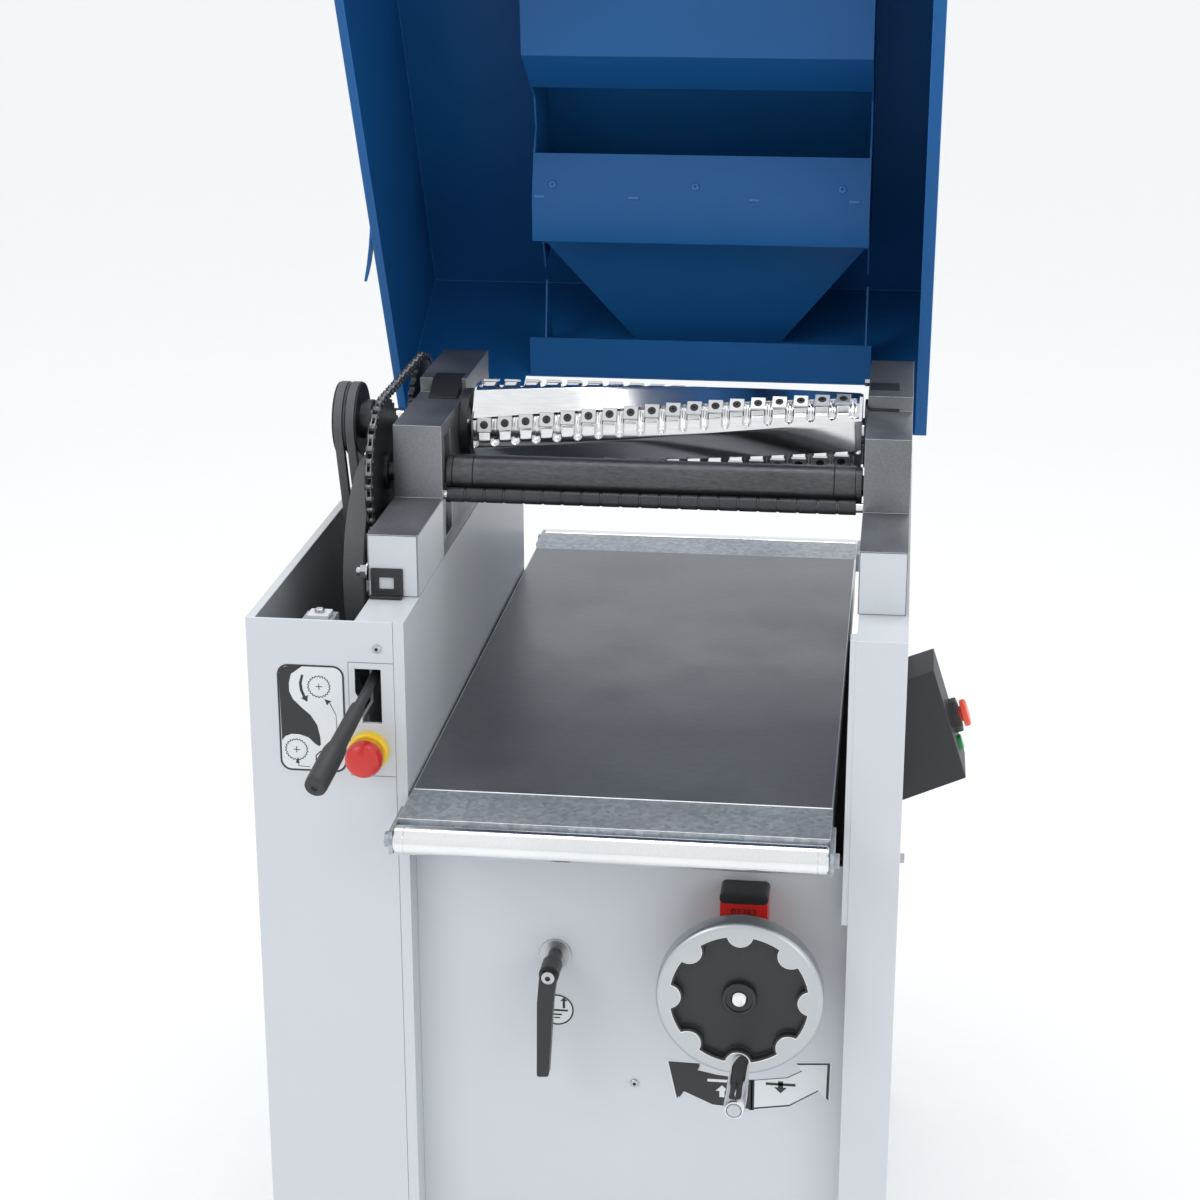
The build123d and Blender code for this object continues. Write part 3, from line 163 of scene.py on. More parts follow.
CUTTER = material("cutter_steel_look", (0.82, 0.83, 0.84), 0.17, 1.0, tint=0.06, grain=(500, 0.10),
                  stretch=(0.1, 1, 1), mottle=0.05, bump_distance=0.0001)
CARBIDE = material("carbide_look", (0.62, 0.63, 0.64), 0.30, 1.0, tint=0.06, grain=(900, 0.08))
STEEL = material("turned_steel_look", (0.50, 0.51, 0.53), 0.26, 1.0, tint=0.10, grain=(800, 0.15),
                 mottle=0.06)
DARK_STEEL = material("oiled_steel_look", (0.055, 0.058, 0.065), 0.38, 0.75, tint=0.25, grain=(650, 0.25),
                      mottle=0.10)
ROLLER = material("feed_roller_look", (0.085, 0.088, 0.096), 0.36, 0.85, tint=0.25, grain=(500, 0.18),
                  stretch=(0.25, 1, 1), mottle=0.08)
CHAIN = material("chain_look", (0.20, 0.20, 0.21), 0.33, 0.95, tint=0.25, grain=(500, 0.2), mottle=0.08)
ALUMINIUM = material("cast_aluminium_look", (0.42, 0.43, 0.45), 0.46, 0.85, tint=0.08, grain=(600, 0.45))
CHROME = material("chrome_look", (0.78, 0.79, 0.80), 0.10, 1.0, tint=0.03, grain=(900, 0.03), mottle=0.03)
SATIN = material("satin_disc_look", (0.50, 0.52, 0.54), 0.36, 0.85, tint=0.04, grain=(700, 0.10), mottle=0.05)
FLAT_BELT = material("flat_belt_look", (0.10, 0.105, 0.115), 0.60, tint=0.15, grain=(800, 0.35))
BLACK = material("black_plastic_look", (0.016, 0.017, 0.020), 0.34, tint=0.15, grain=(1300, 0.22),
                 mottle=0.06)
BLACK_MATT = material("black_box_look", (0.022, 0.023, 0.027), 0.50, tint=0.15, grain=(1300, 0.35),
                      mottle=0.06)
RED = material("red_plastic_look", (0.56, 0.018, 0.014), 0.30, coat=0.25, tint=0.06, grain=(900, 0.05))
ORANGE_RED = material("stop_red_look", (0.80, 0.06, 0.02), 0.33, coat=0.2, tint=0.05, grain=(900, 0.05))
YELLOW = material("yellow_plastic_look", (0.88, 0.60, 0.02), 0.35, coat=0.2, tint=0.05, grain=(900, 0.05))
GREEN = material("green_plastic_look", (0.02, 0.30, 0.08), 0.33, coat=0.2, tint=0.05, grain=(900, 0.05))
ZINC = spangle_material("galvanised_look")
LABEL_WHITE = material("label_white_look", (0.66, 0.69, 0.71), 0.32, tint=0.01, grain=(1500, 0.02))
# black for printed ink, and for screw and socket recesses as painted shade
PRINT_AND_SHADE_BLACK = material("print_and_recess_shade_look", (0.018, 0.019, 0.022), 0.32, tint=0.05, grain=(1500, 0.02))


# ---- mesh helpers ---------------------------------------------------------------------------------
def add_piece(name, mesh, body, mats, smooth=30.0):
    """Links a mesh as a piece that rides on a body. smooth is the largest angle shaded smooth, or None."""
    obj = bpy.data.objects.new(name, mesh)
    bpy.context.scene.collection.objects.link(obj)
    for m in mats:
        mesh.materials.append(m)
    if smooth is not None:
        mesh.shade_smooth()
        mesh.set_sharp_from_angle(angle=radians(smooth))
    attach(obj, body)
    return obj


def from_faces(name, verts, faces, body, mats, indices=None, smooth=30.0, clean=True):
    """A piece from vertices in millimetres."""
    mesh = bpy.data.meshes.new(name)
    mesh.from_pydata([(x * MM, y * MM, z * MM) for x, y, z in verts], [], faces)
    if indices:
        mesh.polygons.foreach_set("material_index", indices)
    if clean:
        bm = bmesh.new()
        bm.from_mesh(mesh)
        bmesh.ops.remove_doubles(bm, verts=bm.verts, dist=1e-6)
        bmesh.ops.recalc_face_normals(bm, faces=bm.faces)
        bm.to_mesh(mesh)
        bm.free()
    return add_piece(name, mesh, body, mats, smooth)


def bevel(obj, width, segments=2, angle=35.0, bevel_highlight_material=None):
    """Rounds the edges sharper than angle; width in millimetres. A given edge material colours the bevels as
    a painted highlight.
    """
    mod = obj.modifiers.new("edges", "BEVEL")
    mod.width = width * MM
    mod.segments = segments
    mod.limit_method = "ANGLE"
    mod.angle_limit = radians(angle)
    mod.use_clamp_overlap = True
    mod.harden_normals = True
    if bevel_highlight_material is not None:
        obj.data.materials.append(bevel_highlight_material)
        mod.material = len(obj.data.materials) - 1
    return obj


def refine(node, look, width=0.8, segments=2, bevel_highlight=None, angle=35.0):
    """A piece with a CAD node's shape, cleaned so that its edges can be rounded; it replaces the node."""
    source = nodes[node]
    mesh = bpy.data.meshes.new(node + "_surface")
    bm = bmesh.new()
    bm.from_mesh(source.data)
    for layer in list(bm.loops.layers.uv):
        bm.loops.layers.uv.remove(layer)
    bmesh.ops.remove_doubles(bm, verts=bm.verts, dist=2e-5)
    bmesh.ops.dissolve_limit(bm, angle_limit=radians(0.6), use_dissolve_boundaries=False,
                             verts=bm.verts, edges=bm.edges)
    bmesh.ops.recalc_face_normals(bm, faces=bm.faces)
    bm.to_mesh(mesh)
    bm.free()
    body = source["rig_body"]
    obj = add_piece(node + "_surface", mesh, body, [look])
    if width:
        bevel(obj, width, segments, angle, bevel_highlight)
    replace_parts(obj, node)
    return obj


def dress(node, look):
    """A CAD node shown as it is, with a better material."""
    mats = nodes[node].data.materials
    if not mats:
        mats.append(look)
    for i in range(len(mats)):
        mats[i] = look


class Shape:
    """Collects faces of simple solids in millimetres."""

    def __init__(self):
        self.verts, self.faces, self.mats = [], [], []

    def add(self, verts, faces, mat=0):
        start = len(self.verts)
        self.verts += [tuple(v) for v in verts]
        self.faces += [tuple(start + i for i in f) for f in faces]
        self.mats += [mat] * len(faces)

    def lathe(self, origin, axis, profile, count=48, mat=0, mats=None):
        """Turns (along, radius) points round an axis."""
        axis = Vector(axis).normalized()
        side = axis.orthogonal().normalized()
        other = axis.cross(side)
        start = len(self.verts)
        for along, radius in profile:
            for k in range(count):
                a = 2 * pi * k / count
                self.verts.append(tuple(Vector(origin) + axis * along
                                        + (side * cos(a) + other * sin(a)) * max(radius, 0.01)))
        for i in range(len(profile) - 1):
            for k in range(count):
                n = (k + 1) % count
                a, b = start + i * count, start + (i + 1) * count
                self.faces.append((a + k, a + n, b + n, b + k))
                self.mats.append(mats[i] if mats else mat)

    def extrude(self, origin, u, v, corners, depth, mat=0):
        """A plate with (u, v) corners, extruded along u x v by depth."""
        u, v = Vector(u).normalized(), Vector(v).normalized()
        w = u.cross(v)
        n = len(corners)
        low = [Vector(origin) + u * a + v * b for a, b in corners]
        high = [p + w * depth for p in low]
        faces = [tuple(range(n - 1, -1, -1)), tuple(range(n, 2 * n))]
        faces += [(i, (i + 1) % n, n + (i + 1) % n, n + i) for i in range(n)]
        self.add(low + high, faces, mat)

    def strip(self, origin, u, v, inner, outer, depth, mat=0):
        """A closed ring between two matching loops of (u, v) points, extruded by depth."""
        u, v = Vector(u).normalized(), Vector(v).normalized()
        w = u.cross(v)
        n = len(inner)
        rows = []
        for loop in (inner, outer):
            for lift in (0, depth):
                rows.append([Vector(origin) + u * a + v * b + w * lift for a, b in loop])
        verts = [p for row in rows for p in row]
        faces = []
        for i in range(n):
            j = (i + 1) % n
            faces += [(i, j, n + j, n + i), (2 * n + j, 2 * n + i, 3 * n + i, 3 * n + j),
                      (n + i, n + j, 3 * n + j, 3 * n + i), (j, i, 2 * n + i, 2 * n + j)]
        self.add(verts, faces, mat)

    def block(self, x0, x1, y0, y1, z0, z1, mat=0):
        self.extrude((x0, y0, z0), (1, 0, 0), (0, 1, 0), ((0, 0), (x1 - x0, 0), (x1 - x0, y1 - y0),
                                                          (0, y1 - y0)),
                     z1 - z0, mat)

    def piece(self, name, body, mats, smooth=30.0, width=0.0, segments=2):
        obj = from_faces(name, self.verts, self.faces, body, mats, self.mats, smooth)
        if width:
            bevel(obj, width, segments)
        return obj


def screw(shape, spot, axis, head_r, head_h, kind="hex", mat=0, dark=1):
    """A screw head standing on a surface at spot, pointing along axis."""
    axis = Vector(axis).normalized()
    side = axis.orthogonal().normalized()
    if kind == "hex":
        corners = [(head_r * cos(radians(60 * k)), head_r * sin(radians(60 * k))) for k in range(6)]
        shape.extrude(Vector(spot), side, axis.cross(side), corners, head_h, mat)
        shape.lathe(Vector(spot), axis, ((head_h, head_r * 0.84), (head_h + 0.25, head_r * 0.78),
                                         (head_h + 0.3, 0)), 24, mat)
    else:
        # the walls and floor of the drive recess take the material dark: painted shade in the recess
        shape.lathe(Vector(spot), axis, ((0, head_r), (head_h * 0.55, head_r), (head_h * 0.9, head_r * 0.8),
                                         (head_h, head_r * 0.46), (head_h, head_r * 0.42),
                                         (head_h * 0.35, head_r * 0.36), (head_h * 0.35, 0)),
                    24, mat, mats=[mat, mat, mat, mat, dark, dark])


def rounded(x0, x1, z0, z1, r, steps=6):
    """Corners of a rounded rectangle."""
    points = []
    for cx, cz, a0 in ((x1 - r, z0 + r, -90), (x1 - r, z1 - r, 0), (x0 + r, z1 - r, 90),
                       (x0 + r, z0 + r, 180)):
        for k in range(steps + 1):
            a = radians(a0 + 90 * k / steps)
            points.append((cx + r * cos(a), cz + r * sin(a)))
    return points


# ---- cabinet --------------------------------------------------------------------------------------
refine("base_frame", PAINT, 1.0, bevel_highlight=PAINT_EDGE_HIGHLIGHT)
refine("left_column", PAINT, 1.0, bevel_highlight=PAINT_EDGE_HIGHLIGHT)
refine("left_front_cover", PAINT, 0.5, bevel_highlight=PAINT_EDGE_HIGHLIGHT)
refine("belt_guard", PAINT, 0.8, bevel_highlight=PAINT_EDGE_HIGHLIGHT)
refine("right_column", PAINT, 1.2, bevel_highlight=PAINT_EDGE_HIGHLIGHT)
refine("front_panel", PAINT, 0.4)
refine("rear_panel", PAINT, 0.4)
refine("cross_members", PAINT, 0.8)

trim = Shape()
for x, z, y in ((-188, 853, -370), (58, 385, -338), (-140, 110, -338), (246, 110, -338)):
    screw(trim, (x, y - 0.2, z), (0, -1, 0), 4.2, 2.4, "pan")
screw(trim, (316.2, -212, 592), (1, 0, 0), 5.5, 5, "hex")
trim.piece("panel_screws", "cabinet", [STEEL, PRINT_AND_SHADE_BLACK])

slotted = Shape()
slotted.extrude((0, -370.6, 0), (1, 0, 0), (0, 0, 1), ((-213, 774), (-204, 774), (-204, 797), (-210.5, 808),
                                                     (-210.5, 834), (-213, 834)), -0.6)
slotted.piece("lever_slot_lip", "cabinet", [PAINT])
seams = Shape()
for x0, x1, z0, z1 in ((-217, -172.6, 838, 838.7), (-217, -216.4, 722, 838), (-217, -172.6, 721.3, 722)):
    seams.block(x0, x1, -370.2, -370.02, z0, z1)
seams.piece("cover_seams", "cabinet", [SEAM], smooth=None)

# small control relay inside the belt compartment
relay = Shape()
relay.block(-275, -243, -318, -288, 822, 861)
relay.block(-270, -248, -314, -292, 861, 865, 1)
relay.lathe((-259, -303, 865), (0, 0, 1), ((0, 5), (3, 5), (4, 3.5), (4, 0)), 20, 2)
relay.piece("hood_switch", "cabinet", [ALUMINIUM, LABEL_WHITE, STEEL], width=0.8)


# ---- pictograms -----------------------------------------------------------------------------------
def toothed(cx, cz, r, teeth=22, depth=1.1):
    points = []
    for k in range(teeth):
        for part, level in ((0.0, 0), (0.3, 1), (0.6, 1), (0.85, 0)):
            a = 2 * pi * (k + part) / teeth
            points.append((cx + (r - depth * (1 - level)) * cos(a), cz + (r - depth * (1 - level)) * sin(a)))
    return points


def scaled(points, cx, cz, k):
    return [(cx + (a - cx) * k, cz + (b - cz) * k) for a, b in points]


PLATE_T = 0.25
INK_T = 0.15
plate = Shape()
right, up = (1, 0, 0), (0, 0, 1)
face_y = -370.1
outer = rounded(-287, -221, 724, 834, 11)
plate.extrude((0, face_y, 0), right, up, outer, 0.25, 0)
plate.strip((0, face_y - PLATE_T, 0), right, up, rounded(-285.2, -222.8, 725.8, 832.2, 9.4), outer, INK_T, 1)
swoosh = [(-285.2, 822.8), (-284.3, 827), (-281.5, 830.4), (-275.8, 832.2), (-262, 832.2), (-273, 824),
          (-275.5, 815), (-275.5, 806),
          (-272, 798), (-264, 790), (-255, 782), (-249, 772), (-246.5, 760), (-246.2, 752), (-248, 750.4),
          (-252, 753), (-258, 759), (-267, 762), (-275, 762), (-281, 759.5), (-284.5, 755)]
plate.extrude((0, face_y - PLATE_T, 0), right, up, swoosh[::-1], INK_T, 1)
for cx, cz in ((-246, 812), (-270.5, 746)):
    ring = toothed(cx, cz, 11.5)
    plate.strip((0, face_y - PLATE_T, 0), right, up, scaled(ring, cx, cz, 0.91), ring, INK_T, 1)
    for a, b in ((3.2, 0.35), (0.35, 3.2)):
        plate.extrude((cx, face_y - PLATE_T, cz), right, up, ((-a, -b), (a, -b), (a, b), (-a, b)), INK_T, 1)
for arrow in (((-263, 824), (-260.8, 823.2), (-262.8, 815), (-262, 808), (-259.5, 801.5), (-257, 803),
               (-258, 796),
               (-264, 799.5), (-262, 800.6), (-264.8, 807.6), (-265.5, 815)),
              ((-241, 799.5), (-238.5, 793), (-236.6, 796), (-230.3, 783.5), (-229.8, 783.7), (-236, 796.5),
               (-233.5, 797.2)),
              ((-272, 732), (-268, 731.5), (-269.5, 738)),
              ((-230.3, 783.5), (-229.8, 783.5), (-229.2, 742), (-229.7, 742)),
              ((-270, 731.5), (-269.4, 731.5), (-268.6, 729.2), (-258, 728.6), (-258, 728), (-269, 728.6))):
    plate.extrude((0, face_y - PLATE_T, 0), right, up, arrow, INK_T, 1)
octagon = [(-244 + 8.5 * cos(radians(22.5 + 45 * k)),
            737.5 + 8.5 * sin(radians(22.5 + 45 * k))) for k in range(8)]
plate.strip((0, face_y - PLATE_T, 0), right, up, scaled(octagon, -244, 737.5, 0.86), octagon, INK_T, 1)
plate.extrude((0, face_y - PLATE_T, 0), right, up, ((-249, 736.4), (-239, 736.4), (-239, 738.8),
                                                    (-249, 738.8)), INK_T, 1)
plate.piece("feed_lever_pictogram", "cabinet", [LABEL_WHITE, PRINT_AND_SHADE_BLACK], smooth=None)

lock = Shape()
panel_y = -338.1
disc = [(-21 + 17 * cos(2 * pi * k / 48), 463 + 17 * sin(2 * pi * k / 48)) for k in range(48)]
lock.extrude((0, panel_y, 0), right, up, disc, 0.25, 0)
lock.strip((0, panel_y - PLATE_T, 0), right, up, scaled(disc, -21, 463, 0.91), disc, INK_T, 1)
lock.extrude((0, panel_y - PLATE_T, 0), right, up, ((-32, 461.5), (-10, 461.5), (-10, 463.5), (-32, 463.5)),
             INK_T, 1)
lock.extrude((0, panel_y - PLATE_T, 0), right, up, ((-26, 457), (-16, 457), (-16, 458.6), (-26, 458.6)),
             INK_T, 1)
lock.extrude((0, panel_y - PLATE_T, 0), right, up, ((-24, 453.5), (-18, 453.5), (-18, 454.8), (-24, 454.8)),
             INK_T, 1)
for side in (-1, 1):
    lock.extrude((-21 + side * 7, panel_y - PLATE_T, 470), right, up,
                 ((-1.2, -5), (1.2, -5), (1.2, 3), (3.6, 3), (0, 7), (-3.6, 3), (-1.2, 3)), INK_T, 1)
lock.piece("clamp_pictogram", "cabinet", [LABEL_WHITE, PRINT_AND_SHADE_BLACK], smooth=None)

arrows = Shape()
LEFT_HALF = [(177, 363.5), (177, 396.3), (141.5, 399.8), (121, 404), (124.2, 411.3), (92.8, 411.7),
             (101.8, 370.5),
             (107.7, 379.6), (137.4, 366.3)]
RIGHT_HALF = [(177, 363.5), (215, 369.5), (245, 389), (253.8, 378.5), (254.5, 420.1), (221.4, 417.9),
              (227.8, 410.7), (212, 401.5), (177, 396.3)]


def half_arrow(sign, grow):
    """Outline of one half of the double arrow, grown or shrunk about its middle."""
    points = RIGHT_HALF if sign > 0 else LEFT_HALF
    cx = sum(a for a, b in points) / len(points)
    cz = sum(b for a, b in points) / len(points)
    return scaled(points, cx, cz, 1 + grow / 35)


for sign, fill in ((-1, 1), (1, 0)):
    arrows.extrude((0, panel_y, 0), right, up, half_arrow(sign, 2.2), 0.12, 0)
    arrows.extrude((0, panel_y - 0.12, 0), right, up, half_arrow(sign, 0.6), 0.1, 1)
    arrows.extrude((0, panel_y - 0.22, 0), right, up, half_arrow(sign, -2.2), 0.1, fill)
for cx, ink, way in ((147, 0, 1), (206, 1, -1)):
    arrows.extrude((cx, panel_y - 0.32, 387), right, up, ((-15, 5), (15, 5), (15, 8), (-15, 8)), 0.1, ink)
    tri = ((-2.6, -way * 11), (2.6, -way * 11), (2.6, -way * 4), (6.5, -way * 4), (0, way * 2.5),
           (-6.5, -way * 4),
           (-2.6, -way * 4))
    arrows.extrude((cx, panel_y - 0.32, 386), right, up, tri if way > 0 else tri[::-1], 0.1, ink)
arrows.piece("height_pictogram", "cabinet", [LABEL_WHITE, PRINT_AND_SHADE_BLACK], smooth=None)

# ---- castings and bearings ------------------------------------------------------------------------
for name in ("left_casting", "right_casting"):
    refine(name, IRON, 1.3, 2, METAL_EDGE_HIGHLIGHT)
refine("bearing_caps", DARK_STEEL, 1.0)
refine("bearing_blocks", IRON, 0.8, 2, METAL_EDGE_HIGHLIGHT)
refine("chip_breaker", IRON, 0.5)
refine("pressure_bar", IRON, 0.5)
dress("cutter_bearings", STEEL)
dress("block_springs", DARK_STEEL)
refine("kickback_shaft", POLISHED, 0.4)
refine("kickback_fingers", DARK_STEEL, 0.5)
spacers = Shape()
for i in range(20):
    x = -158.0 + 17.5 + 20.0 * i
    spacers.lathe((x, -148, 945), (1, 0, 0), ((0.15, 5.2), (0.15, 6.9), (2.35, 6.9), (2.35, 5.2)), 24)
spacers.piece("kickback_spacers", "cabinet", [DARK_STEEL])

keys = Shape()
for x0, x1, y1 in ((-198, -167, 14), (268, 299, 22)):
    keys.extrude((x0, 0, 0), (0, 1, 0), up, ((-39, 1019.1), (y1, 1019.1), (y1, 1034.8), (-8, 1034.8),
                                             (-39, 1020.5)),
                 x1 - x0)
keys.piece("casting_keys", "cabinet", [IRON_DARK], width=0.7)

front_paint = Shape()
for x0, x1 in ((-212, -162), (266.5, 313)):
    front_paint.extrude((x0 + 1.2, -291.05, 881), right, up,
                        ((0, 0), (x1 - x0 - 2.4, 0), (x1 - x0 - 2.4, 60.8), (0, 60.8)), 0.5)
front_paint.extrude((-161.95, -291 + 1.2, 881), (0, 1, 0), up, ((0, 0), (132, 0), (132, 60.8), (0, 60.8)),
                    0.3)
front_paint.piece("casting_front_paint", "cabinet", [PAINT], smooth=None)

stud = Shape()
stud.lathe((-212, -300 + 12, 904), (-1, 0, 0), ((0, 9), (1.6, 9), (1.6, 4), (11, 4), (12, 3), (12, 0)), 24)
screw(stud, (-213.6, -288, 904), (-1, 0, 0), 7.2, 6, "hex")
for y, z in ((-60, 1000), (10, 1000), (-25, 955)):
    screw(stud, (-152, y, z), (1, 0, 0), 3.4, 2.5, "pan")
screw(stud, (266.5, 53, 1027), (-1, 0, 0), 4.2, 5, "hex")
stud.piece("casting_screws", "cabinet", [STEEL, PRINT_AND_SHADE_BLACK])
refine("latch_strike", BLACK_MATT, 0.6)
refine("hinge_brackets", DARK_STEEL, 0.6)
refine("hinge_pins", STEEL, 0.6)


# ---- cutterhead -----------------------------------------------------------------------------------
CUT_Y, CUT_Z, CUT_R = -25.0, 991.0, 44.0
FIRST_X, PITCH, COUNT = -132.8, 22.0, 18
FIRST_DEG, HELIX = 10.6, 0.1435
ROW_MM = CUT_R * pi / 2


def facet_radius(s):
    """Radius of the body s millimetres of arc behind a row of inserts."""
    a0, a1 = radians(36.0), radians(79.6)
    a = s / CUT_R
    if a <= a0 or a >= a1:
        return CUT_R
    p, q = Vector((CUT_R * cos(a0), CUT_R * sin(a0))), Vector((40.6 * cos(a1), 40.6 * sin(a1)))
    d = q - p
    return (p.x * d.y - p.y * d.x) / (cos(a) * d.y - sin(a) * d.x)


def cutter_radius(offset, s):
    """Body radius at a distance from the nearest insert centre along the shaft and s behind it."""
    r = facet_radius(s)
    behind = s if s < 40 else s - ROW_MM
    gap = abs(abs(offset) - 11.0)
    if gap < 4.6 and -8.3 < behind < 24.5:
        tail = max(0.0, (behind - 18.0) / 6.5)
        curve = 1 - (gap / 4.6) ** 2 - tail * tail
        if curve > 0:
            r -= 6.5 * sqrt(curve)
    elif abs(offset) < 5.6 and 7.9 < behind < 19:
        r -= 3.6 * (1 - (behind - 7.9) / 11.1)
    return r


across = [-11, -10.2, -9.3, -8.4, -7.6, -7.05, -6.4, -5.7, -5.5, -2.5, 0, 2.5, 5.5, 5.7, 6.4, 7.05, 7.6,
          8.4, 9.3,
          10.2]
along = [-8.4, -8.2, -6, -3, 0, 3, 6, 7.8, 8.0, 9.5, 11.5, 13.5, 15.5, 17.5, 18.5, 19.8, 21, 22, 23, 23.8,
         24.4, 25,
         27.5, 28, 32, 37, 42, 47, 52, 57, 60.5]
columns = [(-147.0, 99.0), (-145.0, 99.0)]
for i in range(COUNT):
    for u in across:
        x = FIRST_X + i * PITCH + u
        if x > -144.5:
            columns.append((x, u))
columns += [(FIRST_X + COUNT * PITCH - 11 + 0.01, -11.0), (258.0, 99.0), (261.0, 99.0)]
body = Shape()
verts, faces = [], []
per_turn = 4 * len(along)
for x, u in columns:
    base = radians(FIRST_DEG + HELIX * (x - FIRST_X))
    for row in range(4):
        for s in along:
            turn = base + row * pi / 2 - s / CUT_R
            r = cutter_radius(u, s % ROW_MM)
            if x < -146.5 or x > 260.5:
                r -= 1.2
            verts.append((x, CUT_Y - r * cos(turn), CUT_Z + r * sin(turn)))
order = sorted(range(per_turn), key=lambda j: (j // len(along)) * ROW_MM - along[j % len(along)])
for c in range(len(columns) - 1):
    for k in range(per_turn):
        a, b = order[k], order[(k + 1) % per_turn]
        faces.append((c * per_turn + a, c * per_turn + b, (c + 1) * per_turn + b, (c + 1) * per_turn + a))
last = (len(columns) - 1) * per_turn
faces.append(tuple(order))
faces.append(tuple(last + j for j in reversed(order)))
body.add(verts, faces)
body.lathe((-151, CUT_Y, CUT_Z), (1, 0, 0), ((0, 12), (0, 20), (4.2, 20)), 48)
body.lathe((-298, CUT_Y, CUT_Z), (1, 0, 0), ((0, 0), (0, 11.5), (1, 12.4), (147, 12.4)), 40)
body.lathe((260.8, CUT_Y, CUT_Z), (1, 0, 0), ((0, 12.4), (46.4, 12.4), (47.2, 11.5), (47.2, 0)), 40)
cutter = body.piece("cutterhead_flutes", "cutter", [CUTTER], smooth=28)
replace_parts(cutter, "cutterhead")

inserts = Shape()
for row in range(4):
    for i in range(COUNT):
        turn = radians(FIRST_DEG + 90 * row + HELIX * i * PITCH)
        out = Vector((0, -cos(turn), sin(turn)))
        spot = Vector((FIRST_X + i * PITCH, CUT_Y, CUT_Z)) + out * CUT_R
        u, v = Vector((1, 0, 0)), out.cross(Vector((1, 0, 0)))
        square = [(7.5, 7.5), (-7.5, 7.5), (-7.5, -7.5), (7.5, -7.5)]
        rings = []
        for size, lift in ((7.5, 0.0), (7.5, 2.1), (7.1, 2.5)):
            rings.append([spot + u * (a * size / 7.5) + v * (b * size / 7.5) + out * lift for a, b in square])
        inserts.add([p for r in rings for p in r],
                    [(n + 4 * k, (n + 1) % 4 + 4 * k, (n + 1) % 4 + 4 * (k + 1), n + 4 * (k + 1))
                     for k in range(2) for n in range(4)], 0)
        # the flat top, cut round the screw
        corner = [spot + u * (a * 7.1 / 7.5) + v * (b * 7.1 / 7.5) + out * 2.5 for a, b in square]
        circle = [spot + (u * cos(radians(45 + 30 * k)) + v * sin(radians(45 + 30 * k))) * 4.4 + out * 2.5
                  for k in range(12)]
        fan = []
        for q in range(4):
            c0, c1 = q, (q + 1) % 4
            arc = [4 + (3 * q + k) % 12 for k in range(4)]
            fan += [(c0, arc[0], arc[1]), (c0, arc[1], arc[2], c1), (c1, arc[2], arc[3])]
        inserts.add(corner + circle, fan, 0)
        # insert screw heads in dark steel, the socket walls and floor in black: painted shade in the socket
        inserts.lathe(spot, out, ((2.5, 4.4), (1.9, 3.9), (2.15, 3.6), (2.35, 2.9), (2.35, 1.9), (0.8, 1.7),
                                  (0.8, 0)),
                      16, mats=[1, 1, 1, 1, 2, 2])
knives = inserts.piece("cutter_insert_set", "cutter", [CARBIDE, DARK_STEEL, PRINT_AND_SHADE_BLACK],
                       smooth=28)
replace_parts(knives, "cutter_inserts")
refine("cutter_pulley", DARK_STEEL, 0.7)


# ---- feed rollers, sprockets, chains and belts ----------------------------------------------------
def roller_piece(name, body, y, look):
    z, r = 962.0, 19.5
    shape = Shape()
    profile = [(-235, 0), (-235, 9), (-234, 9.95), (-161, 9.95), (-161, 18.0), (-160.4, 18.6), (-155, 18.6),
               (-154.4, 18.0), (-154.4, 18.8), (-153.8, 19.5), (-133.7, 19.5), (-133.1, 18.7), (-132.5, 19.5),
               (236.0, 19.5), (236.6, 18.7), (237.2, 19.5),
               (257.5, 19.5), (258.2, 18.6), (264, 18.6), (264.6, 18), (264.6, 9.95), (305, 9.95), (306, 9),
               (306, 0)]
    shape.lathe((0, y, z), (1, 0, 0), profile, 64)
    # three grub screws at each end, the floor of each socket in black: painted shade
    for x in (-157.5, 261):
        for k in range(3):
            a = radians(200 + 120 * k)
            out = Vector((0, cos(a), sin(a)))
            shape.lathe(Vector((x, y, z)) + out * 18.3, out, ((0, 2.4), (0.45, 2.4), (0.45, 1.6), (-0.6, 1.4),
                                                             (-0.6, 0)), 12, mats=[1, 1, 1, 2])
    obj = shape.piece(name, body, [look, DARK_STEEL, PRINT_AND_SHADE_BLACK])
    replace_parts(obj, body + "_roller")


roller_piece("infeed_roller_turned", "infeed", -125.0, ROLLER)
roller_piece("outfeed_roller_turned", "outfeed", 80.0, POLISHED)
for name in ("infeed_sprocket", "outfeed_sprocket", "drive_sprocket"):
    refine(name, DARK_STEEL, 0.4, 1)


